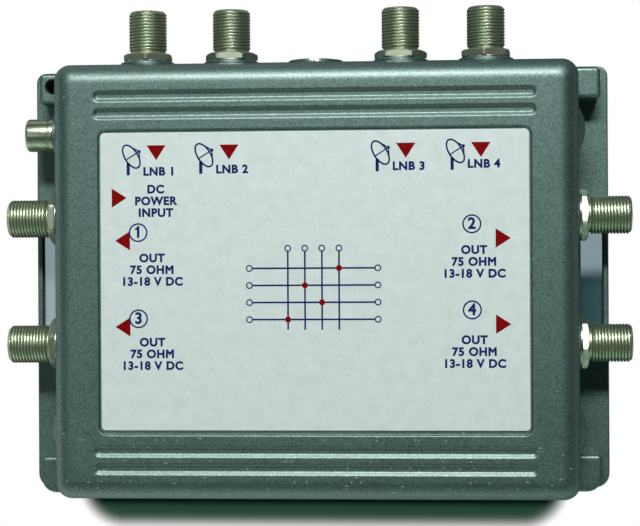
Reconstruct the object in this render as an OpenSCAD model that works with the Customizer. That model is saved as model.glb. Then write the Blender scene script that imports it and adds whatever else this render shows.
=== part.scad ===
// Satellite multiswitch in a die-cast housing, lying on its back.
// Millimetres. The origin is the centre of the casting on its back plane.
// +X runs to the right of the front face, +Y up to the dish ports, +Z out of the front face.

/* [Housing] */
// Width of the casting at its back edge
body_w = 131.4; // [120:0.2:150]
// Height of the casting at its back edge
body_h = 109.6; // [104:0.2:125]
// Depth of the casting from the wall to the front face
body_d = 26; // [25:0.5:34]
// Draft of the side walls in degrees
draft = 1.5; // [0.5:0.25:2.5]
// Radius of the upright corners at the back edge
corner_r = 6.5; // [6:0.5:10]
// Radius of the round between the side walls and the front face
edge_r = 5; // [2:0.5:5]
// Thickness of the side walls where they are thinnest
wall = 2.4; // [2:0.1:3]
// Thickness of the front wall
front_wall = 2.6; // [2.2:0.1:3.4]

/* [Front face] */
// Width of the label
label_w = 105.6; // [80:0.2:108]
// Height of the label
label_h = 73.6; // [50:0.2:74]
// Thickness of the label
label_t = 0.25; // [0.1:0.05:0.5]
// Corner radius of the label
label_r = 1; // [0.5:0.25:3]
// Gap between the label and the edge of its recess
recess_gap = 0.9; // [0.3:0.1:1.2]
// Depth of the label recess
recess_depth = 0.6; // [0.5:0.05:1]
// Corner radius of the label recess
recess_r = 2.5; // [1:0.25:4]
// Length of a groove from end to end
groove_l = 109.6; // [60:0.2:112]
// Width of a groove at the front face
groove_w = 2.9; // [2:0.1:3.4]
// Depth of a groove
groove_depth = 0.7; // [0.3:0.05:0.9]
// Distance between the two grooves of a pair
groove_pitch = 4.35; // [3.8:0.05:4.6]
// Distance from the edge of the casting to the outer groove
groove_inset = 8.95; // [7.6:0.05:10]

/* [Flanges] */
// Reach of each mounting flange past the casting
flange_w = 8.35; // [8.2:0.05:14]
// Thickness of the flanges
flange_t = 3; // [2:0.1:4]
// How far the flange ends stay short of the casting's ends
flange_short = 0.5; // [0.2:0.1:3]
// Radius of the lower outer corner of a flange
flange_low_r = 4; // [2:0.25:6]
// Radius of the upper outer corner of a flange
flange_top_r = 2.5; // [1:0.25:2.75]
// Length of a raised end pad along the side
pad_l = 8.7; // [7:0.1:9]
// Rise of a pad above the flange
pad_rise = 8.3; // [4:0.1:10]
// Strip of flange left outside a pad
pad_margin = 3.5; // [3:0.1:3.6]
// Length of the window in a flange
window_l = 25; // [12:0.5:40]
// Strip of flange left between the casting and the window
window_in = 1.3; // [0.8:0.1:2]
// Strip of flange left outside the window
window_rail = 1.4; // [1:0.05:2]
// Corner radius of the window
window_r = 1; // [0.5:0.25:2]
// Diameter of the wall screw's hole
wall_hole_d = 3.6; // [3:0.1:4]
// Diameter of the countersink of the wall screw's hole
wall_sink_d = 4.8; // [4.2:0.1:4.9]

/* [Side bulges] */
// Distance from the casting's ends to the middle of a side bulge
bulge_in = 17.5; // [16.5:0.25:19.5]
// Radius of a side bulge
bulge_r = 10; // [8:0.5:11]
// How far a bulge stands out of the casting's back edge
bulge_out = 1.4; // [1.2:0.1:2.5]
// Height of a bulge from the wall
bulge_h = 19.5; // [15:0.5:20]

/* [Ports] */
// Height of the port axes above the wall
axis_z = 13; // [12.5:0.25:14]
// Distance between neighbouring places along the top edge
dish_pitch = 21.4; // [18:0.1:22]
// Distance of a receiver port from the middle of its side
receiver_y = 16; // [12:0.5:18]
// Diameter of the round bosses under the ports
boss_d = 14; // [13:0.25:15]
// Rise of the top bosses out of the wall
dish_boss_h = 0.9; // [0.6:0.1:3]
// Rise of the side bosses out of the wall
receiver_boss_h = 0.3; // [0.3:0.1:2]
// Diameter of the threaded barrel
thread_d = 9.525; // [9:0.005:10]
// Length of the threaded barrel
thread_l = 10.75; // [8:0.05:14]
// Chamfer at the mouth of the barrel
mouth_chamfer = 0.6; // [0.3:0.05:1]
// Width of the hex across its flats
hex_af = 11.7; // [10.5:0.1:12]
// Thickness of the hex
hex_t = 1.8; // [1.5:0.1:3]
// Diameter of the washer under a hex
port_washer_d = 12.2; // [11.5:0.1:13]
// Thickness of the washer under a hex
port_washer_t = 0.4; // [0.3:0.05:1]
// Diameter of the spigot that is held in the casting
spigot_d = 9; // [8:0.1:9.2]
// Diameter of the bead in a port's mouth
bead_d = 6.9; // [6:0.1:7.4]
// Diameter of the bead's neck in the spigot
bead_neck_d = 4.9; // [4:0.1:5.6]
// Diameter of the spring socket in a bead
socket_d = 1.6; // [1.4:0.05:2]
// Diameter of the hole for a cable's centre conductor
conductor_hole_d = 1.2; // [1:0.05:1.3]
// Diameter of a contact's tail
tail_d = 1; // [0.8:0.05:1.2]

/* [Power jack] */
// Distance from the casting's back edge to the jack's seat
jack_seat_out = 1; // [0.6:0.1:1.2]
// Diameter of the jack's seat
jack_seat_d = 11; // [10:0.25:12]
// Diameter of the jack's base
jack_base_d = 8.7; // [8.5:0.1:9.5]
// Length of the jack's base
jack_base_l = 1.3; // [1:0.1:4]
// Diameter of the jack's barrel
jack_d = 8.3; // [8:0.05:8.4]
// Length of the jack's barrel
jack_l = 5.9; // [4:0.1:8]
// Diameter of the jack's threaded neck
jack_neck_d = 7; // [6:0.1:7.5]
// Diameter of the hole for a plug's pin
jack_pin_d = 3.2; // [3:0.05:3.4]
// Width of the jack's nut across its flats
jack_nut_af = 9; // [8.5:0.1:10]
// Thickness of the jack's nut
jack_nut_t = 2; // [1.5:0.1:2.2]

/* [Ground terminal] */
// Diameter of the recess in the ring boss
ground_recess_d = 10.4; // [9.8:0.1:11]
// Depth of the recess below the ring's face
ground_sink = 3.1; // [3:0.1:3.6]
// Width of the wire notches in the ring
wire_notch_w = 2.6; // [2:0.1:4]
// Diameter of the ground screw's thread
ground_thread_d = 5; // [4:0.1:5.4]
// Length of the ground screw below its head
ground_thread_l = 8; // [7:0.1:8.4]
// Diameter of the ground screw's head
ground_head_d = 9; // [8:0.1:9.4]
// Thickness of the ground screw's head
ground_head_t = 2; // [1.6:0.1:2.1]
// Thickness of the captive washer
ground_washer_t = 0.8; // [0.5:0.05:1]
// Outer diameter of the captive washer
ground_washer_d = 9.6; // [8:0.1:9.7]
// Width of the screwdriver slot
driver_slot_w = 1.2; // [0.8:0.1:1.6]

/* [Back] */
// Thickness of the rear cover
cover_t = 1.5; // [1.2:0.05:2]
// Thickness of the cover's gasket
gasket_t = 0.6; // [0.4:0.05:1]
// Width of the ledge that the gasket lies on
ledge = 1.5; // [1.2:0.1:1.8]
// Gap round the rear cover
cover_gap = 0.2; // [0.1:0.05:0.3]
// Diameter of the cover posts
post_d = 8; // [7:0.25:9]
// Distance of the cover posts' axes from the inner walls
post_in = 3.4; // [3:0.1:3.4]
// Thread diameter of the cover and board screws
screw_d = 2.5; // [2:0.1:3]
// Head diameter of the countersunk cover screws
cover_head_d = 4.6; // [4:0.1:5.2]
// Length of the cover screws
cover_screw_l = 7; // [5:0.25:7.5]

/* [Board] */
// Thickness of the circuit board
board_t = 1.6; // [1:0.1:2]
// Gap between the inner walls and the board
board_gap = 4; // [3.6:0.1:5]
// How far the contact tails lie over the board
tail_overlap = 3; // [2:0.1:4]
// Diameter of the cast standoffs
standoff_d = 6; // [5:0.1:7]
// Distance of the board screws from the board's upper and lower edges
board_screw_in = 7; // [6.5:0.1:8]
// Head diameter of the board screws
board_head_d = 4.5; // [4:0.1:5]
// Head height of the board screws
board_head_t = 1.8; // [1.2:0.1:2.4]
// Length of the board screws below their heads
board_screw_l = 6; // [4:0.25:7]
// Width of the shield can
can_w = 48; // [44:0.5:50]
// Height of the shield can along the board
can_h = 40; // [36:0.5:44]
// Depth of the shield can
can_d = 8; // [5:0.25:9]
// Thickness of the tinplate
tin_t = 0.5; // [0.3:0.05:0.8]

/* [Hidden] */
$fn = 64;
round_fn = 32;
round_steps = 8;
// Working clearance of seated round pieces, and a cut's overshoot
fit = 0.05;
over = 1;
// Least corner radius left on the front face, and room between parts on the board
least_corner = 0.2;
part_gap = 1;

function lean(z) = z * tan(draft);

front_r = min(edge_r, corner_r - lean(body_d) - least_corner);
round_z = body_d - front_r;
round_x = corner_r - (front_r + round_z * sin(draft)) / cos(draft);

cavity_w = body_w - 2 * (lean(body_d) + wall);
cavity_h = body_h - 2 * (lean(body_d) + wall);
cavity_top = body_d - front_wall;
cavity_r = corner_r - wall;
rebate_w = cavity_w + 2 * ledge;
rebate_h = cavity_h + 2 * ledge;
rebate_r = cavity_r + ledge;
rebate_depth = cover_t + gasket_t;
cover_w = rebate_w - 2 * cover_gap;
cover_h = rebate_h - 2 * cover_gap;
cover_r = rebate_r - cover_gap;

reach = body_w / 2 + flange_w;
flange_root = body_w / 2 - wall;
flange_end = body_h / 2 - flange_short;
pad_top = flange_t + pad_rise;
wall_hole_x = -(body_w / 2 - lean(pad_top) + reach - pad_margin) / 2;
wall_hole_y = flange_end - pad_l / 2;
wall_sink_depth = (wall_sink_d - wall_hole_d) / 2;

bulge_x = body_w / 2 + bulge_out - bulge_r;
bulge_y = body_h / 2 - bulge_in;
bulge_sink = 0.3;
bulge_cap = bulge_out + lean(bulge_h) + bulge_sink;

dish_face = body_h / 2 - lean(axis_z) + dish_boss_h;
receiver_face = body_w / 2 - lean(axis_z) + receiver_boss_h;
dish_grip = dish_face - cavity_h / 2;
receiver_grip = receiver_face - cavity_w / 2;
boss_chamfer = 0.4;
dish_x = [for (k = [-2, -1, 1, 2]) k * dish_pitch];
receiver_side = [-1, 1, -1, 1];
receiver_place = [receiver_y, receiver_y, -receiver_y, -receiver_y];
dish_turn = [33, 0, -4, 23];
receiver_turn = [30, 18, 19, 12];
spigot_past = 1.2;
mouth_z = port_washer_t + hex_t + thread_l;
bead_recess = 0.4;
bead_z = mouth_z - bead_recess;
socket_cover = 2;
socket_z = bead_z - socket_cover;
socket_l = 7;
socket_floor = 2;
spring_pinch = 0.2;

jack_face = body_w / 2 + jack_seat_out;
jack_grip = jack_face - cavity_w / 2;
jack_mouth_z = jack_base_l + jack_l;
jack_tip = 0.9;
jack_neck_past = 0.6;
jack_wall = 0.8;
jack_neck_wall = 1.3;
jack_sleeve_wall = 0.5;
jack_bead_d = jack_d - 2 * jack_wall;
jack_bead_neck_d = jack_neck_d - 2 * jack_neck_wall;
jack_bead_seat = jack_wall;
jack_bead_z = jack_mouth_z - jack_wall;
jack_sleeve_d = jack_pin_d + 2 * jack_sleeve_wall;
jack_sleeve_seat = jack_bead_seat + jack_wall;

ground_y = dish_face - ground_sink;
ground_head_z = fit + ground_washer_t + fit;
driver_slot_depth = ground_head_t / 2;
block_w = 13;
block_floor = 2;
block_y = ground_y - ground_thread_l - block_floor;

post_x = cavity_w / 2 - post_in;
post_y = cavity_h / 2 - post_in;
post_spots = concat([for (sx = [-1, 1], sy = [-1, 1]) [sx * post_x, sy * post_y]], [[0, -post_y]]);
cover_screw_spots = concat(post_spots, [[0, post_y]]);
cover_head_l = (cover_head_d - screw_d) / 2;

board_z = axis_z + tail_d / 2 + fit;
board_top = board_z + board_t;
board_hw = cavity_w / 2 - board_gap;
board_hh = cavity_h / 2 - board_gap;
post_room = 0.8;
board_screw_spots = [for (sx = [-1, 1], sy = [-1, 1])
    [sx * 1.5 * dish_pitch, sy * (board_hh - board_screw_in)]];

choke_w = 7;
choke_t = 4;
choke_core_d = 5.4;
choke_groove = 0.5;
choke_in = 11;
dish_choke_y = board_hh - choke_in;
receiver_choke_x = board_hw - choke_in;
choke_spots = concat([for (x = dish_x) [x, dish_choke_y]],
    [for (i = [0 : 3]) [receiver_side[i] * receiver_choke_x, receiver_place[i]]]);
chip_w = 6;
chip_l = 10;
chip_t = 1.7;
chip_stand = 0.15;
leg_w = 0.45;
leg_out = 1.1;
leg_root = 0.4;
leg_t = 0.9;
leg_pitch = 1.27;
legs_per_side = 7;
switch_spots = [for (sx = [-1, 1], sy = [-1, 1]) [sx * can_w / 4, sy * can_h / 4]];
decoder_x = (can_w / 2 + receiver_choke_x - choke_w / 2) / 2;
decoder_spots = [for (i = [0 : 3]) [receiver_side[i] * decoder_x, receiver_place[i]]];
capacitor_d = 6.3;
capacitor_l = 8;
capacitor_groove = 0.3;
crimp_z = capacitor_l - 1.5;
crimp_half = 0.5;
capacitor_in = 8;
capacitor_y = dish_choke_y - choke_w / 2 - capacitor_d / 2 - part_gap;
capacitor_spots = [for (k = [0 : 2]) [k * (capacitor_d + part_gap) + capacitor_in - board_hw, capacitor_y]];
regulator_w = 6.5;
regulator_l = 6;
regulator_t = 2.3;
regulator_tab = 3;
regulator_tab_t = 0.6;
regulator_tab_in = 0.6;
regulator_room = 2.75;
regulator_x = can_w / 2 + regulator_room + regulator_w / 2;

dish_names = [for (i = [1 : 4]) str("dish_port_", i)];
receiver_names = [for (i = [1 : 4]) str("receiver_port_", i)];
port_names = concat(dish_names, receiver_names);
port_pieces = ["_shell", "_insulator", "_contact"];

// Rectangle with true round corners, centred
module rounded_rect(w, h, r) {
    square([w - 2 * r, h], center = true);
    square([w, h - 2 * r], center = true);
    for (sx = [-1, 1], sy = [-1, 1])
        translate([sx * (w / 2 - r), sy * (h / 2 - r)]) circle(r);
}

// Frames of the ports: local z runs outwards from the boss face
module at_dish(i) {
    translate([dish_x[i], dish_face, axis_z]) rotate([-90, 0, 0]) children();
}

module at_receiver(i) {
    translate([receiver_side[i] * receiver_face, receiver_place[i], axis_z])
        rotate([0, 90 * receiver_side[i], 0]) children();
}

module at_jack() {
    translate([-jack_face, bulge_y, axis_z]) rotate([0, -90, 0]) children();
}

// Local z runs out of the floor of the ground terminal's recess
module at_ground() {
    translate([0, ground_y, axis_z]) rotate([-90, 0, 0]) children();
}

// Half section of an upright corner: drafted wall, then the round to the front face
module corner_profile() {
    polygon(concat(
        [[0, 0], [corner_r, 0]],
        [for (k = [0 : round_steps]) let (a = draft + (90 - draft) * k / round_steps)
            [round_x + front_r * cos(a), round_z + front_r * sin(a)]],
        [[0, body_d]]));
}

module casting_block() {
    hull()
        for (sx = [-1, 1], sy = [-1, 1])
            translate([sx * (body_w / 2 - corner_r), sy * (body_h / 2 - corner_r), 0])
                rotate_extrude($fn = round_fn) corner_profile();
}

// Outline of the right flange, from inside the wall to its outer edge
module flange_outline() {
    translate([flange_root, -flange_end])
        square([reach - flange_low_r - flange_root, 2 * flange_end]);
    translate([flange_root, flange_low_r - flange_end])
        square([reach - flange_root, 2 * flange_end - flange_low_r - flange_top_r]);
    translate([flange_root, flange_end - 2 * flange_top_r])
        square([reach - flange_top_r - flange_root, 2 * flange_top_r]);
    translate([reach - flange_low_r, flange_low_r - flange_end]) circle(flange_low_r);
    translate([reach - flange_top_r, flange_end - flange_top_r]) circle(flange_top_r);
}

module flange() {
    window_from = body_w / 2 + window_in;
    window_to = reach - window_rail;
    linear_extrude(flange_t)
        difference() {
            flange_outline();
            translate([(window_from + window_to) / 2, 0])
                rounded_rect(window_to - window_from, window_l, window_r);
        }
    for (low = [-flange_end, flange_end - pad_l])
        linear_extrude(pad_top)
            intersection() {
                flange_outline();
                translate([flange_root, low]) square([reach - pad_margin - flange_root, pad_l]);
            }
}

// Round boss whose chamfered face is at z = 0, rooted in the wall behind it
module boss(d, grip) {
    root = grip - wall / 2;
    translate([0, 0, -root]) cylinder(d = d, h = root - boss_chamfer);
    translate([0, 0, -boss_chamfer]) cylinder(d1 = d, d2 = d - 2 * boss_chamfer, h = boss_chamfer);
}

// Upright half-round bulge on a side wall, drawn in at its head
module bulge() {
    cylinder(r = bulge_r, h = bulge_h - bulge_cap);
    translate([0, 0, bulge_h - bulge_cap])
        cylinder(r1 = bulge_r, r2 = bulge_r - bulge_cap, h = bulge_cap);
}

module groove() {
    floor_w = groove_w - 2 * groove_depth;
    straight = (groove_l - groove_w) / 2;
    translate([-straight, 0, 0]) rotate([90, 0, 90])
        linear_extrude(2 * straight)
            polygon([[-floor_w / 2, -groove_depth], [floor_w / 2, -groove_depth],
                [groove_w / 2, 0], [groove_w / 2, over], [-groove_w / 2, over], [-groove_w / 2, 0]]);
    for (sx = [-1, 1])
        translate([sx * straight, 0, 0])
            rotate_extrude()
                polygon([[0, -groove_depth], [floor_w / 2, -groove_depth],
                    [groove_w / 2, 0], [groove_w / 2, over], [0, over]]);
}

module housing_outside() {
    casting_block();
    flange();
    mirror([1, 0, 0]) flange();
    for (sx = [-1, 1], sy = [-1, 1])
        translate([sx * bulge_x, sy * bulge_y, 0]) bulge();
    for (i = [0 : 3]) {
        at_dish(i) boss(boss_d, dish_grip);
        at_receiver(i) boss(boss_d, receiver_grip);
    }
    at_jack() boss(jack_seat_d, jack_grip);
    translate([0, dish_face, axis_z]) rotate([-90, 0, 0]) boss(boss_d, dish_grip);
}

module housing_hollow() {
    translate([0, 0, -over]) linear_extrude(cavity_top + over) rounded_rect(cavity_w, cavity_h, cavity_r);
    translate([0, 0, -over]) linear_extrude(rebate_depth + over) rounded_rect(rebate_w, rebate_h, rebate_r);
}

// Cover posts, board standoffs and the solid block behind the ground terminal
module housing_posts() {
    post_h = cavity_top - rebate_depth + over;
    for (p = post_spots)
        translate([p[0], p[1], rebate_depth]) cylinder(d = post_d, h = post_h);
    for (p = board_screw_spots)
        translate([p[0], p[1], board_top]) cylinder(d = standoff_d, h = cavity_top - board_top + over);
    translate([-block_w / 2, block_y, rebate_depth])
        cube([block_w, cavity_h / 2 - block_y + over, post_h]);
}

module port_hole(grip) {
    translate([0, 0, -grip - over]) cylinder(d = spigot_d + 2 * fit, h = grip + 2 * over);
}

module ground_cut() {
    slot_l = boss_d + 2 * over;
    cylinder(d = ground_recess_d, h = ground_sink + over);
    translate([0, 0, -ground_thread_l - over])
        cylinder(d = ground_thread_d + 2 * fit, h = ground_thread_l + 2 * over);
    translate([-wire_notch_w / 2, -slot_l / 2, 0]) cube([wire_notch_w, slot_l, ground_sink + over]);
}

module housing_holes() {
    for (i = [0 : 3]) {
        at_dish(i) port_hole(dish_grip);
        at_receiver(i) port_hole(receiver_grip);
    }
    at_jack() {
        translate([0, 0, -jack_grip - over])
            cylinder(d = jack_neck_d + 2 * fit, h = jack_grip + 2 * over);
        cylinder(d = jack_seat_d + over, h = bulge_out + over);
    }
    at_ground() ground_cut();
    for (p = cover_screw_spots)
        translate([p[0], p[1], 0]) cylinder(d = screw_d + 2 * fit, h = cover_screw_l + over / 2);
    for (p = board_screw_spots)
        translate([p[0], p[1], board_top - over])
            cylinder(d = screw_d + 2 * fit, h = board_screw_l - board_t + 1.5 * over);
    translate([wall_hole_x, wall_hole_y, 0]) {
        translate([0, 0, -over]) cylinder(d = wall_hole_d, h = pad_top + 2 * over);
        translate([0, 0, pad_top - wall_sink_depth])
            cylinder(d1 = wall_hole_d, d2 = wall_sink_d, h = wall_sink_depth);
    }
}

module front_cuts() {
    translate([0, 0, body_d - recess_depth])
        linear_extrude(recess_depth + over)
            rounded_rect(label_w + 2 * recess_gap, label_h + 2 * recess_gap, recess_r);
    for (sy = [-1, 1], k = [0, 1])
        translate([0, sy * (body_h / 2 - groove_inset - k * groove_pitch), body_d]) groove();
}

module housing() {
    color([0.44, 0.51, 0.50])
        difference() {
            union() {
                difference() {
                    housing_outside();
                    housing_hollow();
                }
                housing_posts();
            }
            housing_holes();
            front_cuts();
        }
}

module label() {
    color([0.84, 0.86, 0.86])
        translate([0, 0, body_d - recess_depth])
            linear_extrude(label_t) rounded_rect(label_w, label_h, label_r);
}

module rear_cover() {
    color([0.62, 0.64, 0.65])
        difference() {
            linear_extrude(cover_t) rounded_rect(cover_w, cover_h, cover_r);
            for (p = cover_screw_spots)
                translate([p[0], p[1], 0]) {
                    translate([0, 0, -over]) cylinder(d = screw_d + 4 * fit, h = cover_t + 2 * over);
                    cylinder(d1 = cover_head_d + 2 * fit, d2 = screw_d + 2 * fit, h = cover_head_l);
                }
        }
}

module cover_gasket() {
    color([0.12, 0.12, 0.13])
        translate([0, 0, cover_t])
            linear_extrude(gasket_t)
                difference() {
                    intersection() {
                        rounded_rect(cover_w, cover_h, cover_r);
                        union() {
                            difference() {
                                square([body_w, body_h], center = true);
                                rounded_rect(cavity_w + cover_gap, cavity_h + cover_gap, cavity_r);
                            }
                            for (p = cover_screw_spots)
                                translate(p) circle(d = post_d - 2 * cover_gap);
                        }
                    }
                    for (p = cover_screw_spots)
                        translate(p) circle(d = screw_d + 4 * fit);
                }
}

module cover_screws() {
    color([0.70, 0.70, 0.68])
        for (p = cover_screw_spots)
            translate([p[0], p[1], fit]) {
                cylinder(d1 = cover_head_d, d2 = screw_d, h = cover_head_l);
                cylinder(d = screw_d, h = cover_screw_l);
            }
}

// Threaded shell: spigot in the casting, hex against its washer, barrel outside
module port_shell(grip, turn) {
    inner_end = -grip - spigot_past;
    color([0.72, 0.70, 0.62])
        difference() {
            union() {
                translate([0, 0, inner_end]) cylinder(d = spigot_d, h = port_washer_t - inner_end);
                translate([0, 0, port_washer_t]) rotate([0, 0, turn])
                    cylinder(d = hex_af / cos(30), h = hex_t, $fn = 6);
                translate([0, 0, port_washer_t]) cylinder(d = thread_d, h = hex_t + thread_l - mouth_chamfer);
                translate([0, 0, mouth_z - mouth_chamfer])
                    cylinder(d1 = thread_d, d2 = thread_d - 2 * mouth_chamfer, h = mouth_chamfer);
            }
            translate([0, 0, inner_end - over])
                cylinder(d = bead_neck_d + 2 * fit, h = port_washer_t - inner_end + 2 * over);
            translate([0, 0, port_washer_t]) cylinder(d = bead_d + 2 * fit, h = mouth_z);
        }
}

module port_insulator(grip) {
    inner_end = -grip - spigot_past;
    color([0.93, 0.93, 0.90])
        difference() {
            union() {
                translate([0, 0, inner_end]) cylinder(d = bead_neck_d, h = port_washer_t - inner_end + over);
                translate([0, 0, port_washer_t]) cylinder(d = bead_d, h = bead_z - port_washer_t);
            }
            translate([0, 0, socket_z - socket_l - fit]) cylinder(d = socket_d + 2 * fit, h = socket_l + 2 * fit);
            translate([0, 0, socket_z]) cylinder(d = conductor_hole_d, h = bead_z);
            translate([0, 0, inner_end - over])
                cylinder(d = tail_d + 2 * fit, h = socket_z - socket_l - inner_end + over);
        }
}

// Spring socket that takes a cable's centre conductor, with a tail over the board
module port_contact(grip) {
    tail_end = -grip - board_gap - tail_overlap;
    color([0.80, 0.66, 0.34])
        difference() {
            union() {
                translate([0, 0, socket_z - socket_l]) cylinder(d = socket_d, h = socket_l);
                translate([0, 0, tail_end]) cylinder(d = tail_d, h = socket_z - socket_l - tail_end + over);
            }
            translate([0, 0, socket_z - socket_l + socket_floor]) cylinder(d = conductor_hole_d - spring_pinch, h = socket_l);
        }
}

module port_washer() {
    difference() {
        cylinder(d = port_washer_d, h = port_washer_t);
        translate([0, 0, -over]) cylinder(d = spigot_d + 4 * fit, h = port_washer_t + 2 * over);
    }
}

module port_washers() {
    color([0.66, 0.66, 0.64])
        for (i = [0 : 3]) {
            at_dish(i) port_washer();
            at_receiver(i) port_washer();
        }
}

module power_jack_shell() {
    neck_l = jack_grip + jack_nut_t + jack_neck_past;
    color([0.74, 0.72, 0.64])
        at_jack()
            difference() {
                union() {
                    translate([0, 0, -neck_l]) cylinder(d = jack_neck_d, h = neck_l + over);
                    cylinder(d = jack_base_d, h = jack_base_l);
                    cylinder(d = jack_d, h = jack_mouth_z - jack_tip);
                    translate([0, 0, jack_mouth_z - jack_tip])
                        cylinder(d1 = jack_d, d2 = jack_d - jack_tip, h = jack_tip);
                }
                translate([0, 0, -neck_l - over])
                    cylinder(d = jack_bead_neck_d + 2 * fit, h = neck_l + 2 * over);
                translate([0, 0, jack_bead_seat]) cylinder(d = jack_bead_d + 2 * fit, h = jack_mouth_z);
            }
}

module power_jack_insulator() {
    inner_end = -jack_grip - jack_nut_t - jack_neck_past;
    color([0.90, 0.90, 0.86])
        at_jack()
            difference() {
                union() {
                    translate([0, 0, inner_end])
                        cylinder(d = jack_bead_neck_d, h = jack_bead_seat - inner_end + over / 2);
                    translate([0, 0, jack_bead_seat]) cylinder(d = jack_bead_d, h = jack_bead_z - jack_bead_seat);
                }
                translate([0, 0, jack_sleeve_seat - fit]) cylinder(d = jack_sleeve_d + 2 * fit, h = jack_mouth_z);
                translate([0, 0, inner_end - over])
                    cylinder(d = tail_d + 2 * fit, h = jack_sleeve_seat - inner_end + over);
            }
}

module power_jack_contact() {
    tail_end = -jack_grip - board_gap - tail_overlap;
    color([0.78, 0.74, 0.60])
        at_jack()
            difference() {
                union() {
                    translate([0, 0, jack_sleeve_seat]) cylinder(d = jack_sleeve_d, h = jack_bead_z - jack_sleeve_seat);
                    translate([0, 0, tail_end]) cylinder(d = tail_d, h = jack_sleeve_seat - tail_end + over / 2);
                }
                translate([0, 0, jack_sleeve_seat + over]) cylinder(d = jack_pin_d, h = jack_mouth_z);
            }
}

module power_jack_nut() {
    color([0.72, 0.72, 0.70])
        at_jack()
            translate([0, 0, -jack_grip - jack_nut_t])
                difference() {
                    cylinder(d = jack_nut_af / cos(30), h = jack_nut_t, $fn = 6);
                    translate([0, 0, -over]) cylinder(d = jack_neck_d + 2 * fit, h = jack_nut_t + 2 * over);
                }
}

module ground_washer() {
    color([0.70, 0.70, 0.68])
        at_ground()
            translate([0, 0, fit])
                difference() {
                    cylinder(d = ground_washer_d, h = ground_washer_t);
                    translate([0, 0, -over])
                        cylinder(d = ground_thread_d + 6 * fit, h = ground_washer_t + 2 * over);
                }
}

module ground_screw() {
    color([0.76, 0.75, 0.70])
        at_ground()
            difference() {
                union() {
                    translate([0, 0, ground_head_z - ground_thread_l])
                        cylinder(d = ground_thread_d, h = ground_thread_l + over / 2);
                    translate([0, 0, ground_head_z]) cylinder(d = ground_head_d, h = ground_head_t);
                }
                translate([-ground_head_d, -driver_slot_w / 2, ground_head_z + ground_head_t - driver_slot_depth])
                    cube([2 * ground_head_d, driver_slot_w, driver_slot_depth + over]);
            }
}

module circuit_board() {
    color([0.10, 0.36, 0.20])
        translate([0, 0, board_z])
            linear_extrude(board_t)
                difference() {
                    square([2 * board_hw, 2 * board_hh], center = true);
                    for (p = post_spots)
                        translate(p) circle(d = post_d + 2 * post_room);
                    translate([-block_w / 2 - post_room, block_y - post_room])
                        square([block_w + 2 * post_room, board_hh]);
                    for (p = board_screw_spots)
                        translate(p) circle(d = screw_d + 4 * fit);
                }
}

module board_screws() {
    color([0.70, 0.70, 0.68])
        for (p = board_screw_spots)
            translate([p[0], p[1], board_z]) {
                translate([0, 0, -board_head_t]) cylinder(d = board_head_d, h = board_head_t);
                cylinder(d = screw_d, h = board_screw_l);
            }
}

module shield_frame() {
    color([0.74, 0.75, 0.74])
        translate([0, 0, board_z - can_d])
            linear_extrude(can_d)
                difference() {
                    square([can_w, can_h], center = true);
                    square([can_w - 2 * tin_t, can_h - 2 * tin_t], center = true);
                }
}

// Lid with a turned-down lip that grips the frame from outside
module shield_lid() {
    lip = 2;
    outer = 2 * (tin_t + fit);
    color([0.78, 0.79, 0.78])
        translate([0, 0, board_z - can_d - tin_t])
            difference() {
                linear_extrude(tin_t + lip) square([can_w + outer, can_h + outer], center = true);
                translate([0, 0, tin_t])
                    linear_extrude(lip + over) square([can_w + 2 * fit, can_h + 2 * fit], center = true);
            }
}

// Flat chip body on two rows of legs that stand on the board
module chip() {
    translate([-chip_w / 2, -chip_l / 2, -chip_stand - chip_t]) cube([chip_w, chip_l, chip_t]);
    for (sx = [-1, 1], k = [0 : legs_per_side - 1])
        translate([sx * (chip_w / 2 + leg_out / 2), (k - (legs_per_side - 1) / 2) * leg_pitch, -leg_t / 2])
            cube([leg_out + leg_root, leg_w, leg_t], center = true);
}

module switch_chips() {
    color([0.14, 0.14, 0.15])
        for (p = switch_spots)
            translate([p[0], p[1], board_z]) chip();
}

module decoder_chips() {
    color([0.16, 0.16, 0.17])
        for (p = decoder_spots)
            translate([p[0], p[1], board_z]) chip();
}

module choke_coils() {
    color([0.24, 0.24, 0.25])
        for (p = choke_spots)
            translate([p[0], p[1], board_z - choke_t])
                difference() {
                    translate([-choke_w / 2, -choke_w / 2, 0]) cube([choke_w, choke_w, choke_t]);
                    translate([0, 0, -over])
                        difference() {
                            cylinder(d = choke_core_d, h = choke_groove + over);
                            cylinder(d = choke_core_d - 2 * choke_groove, h = choke_groove + 2 * over);
                        }
                }
}

module filter_capacitors() {
    color([0.20, 0.22, 0.30])
        for (p = capacitor_spots)
            translate([p[0], p[1], board_z - capacitor_l])
                rotate_extrude()
                    polygon([[0, 0], [capacitor_d / 2 - capacitor_groove, 0], [capacitor_d / 2, capacitor_groove],
                        [capacitor_d / 2, crimp_z - crimp_half], [capacitor_d / 2 - capacitor_groove, crimp_z],
                        [capacitor_d / 2, crimp_z + crimp_half], [capacitor_d / 2, capacitor_l], [0, capacitor_l]]);
}

module voltage_regulator() {
    color([0.15, 0.15, 0.16])
        translate([-regulator_x - regulator_w / 2, 0, board_z]) {
            translate([0, -regulator_l / 2, -regulator_t]) cube([regulator_w, regulator_l, regulator_t]);
            translate([regulator_tab_in, 0, -regulator_tab_t])
                cube([regulator_w - 2 * regulator_tab_in, regulator_l / 2 + regulator_tab, regulator_tab_t]);
        }
}

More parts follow.
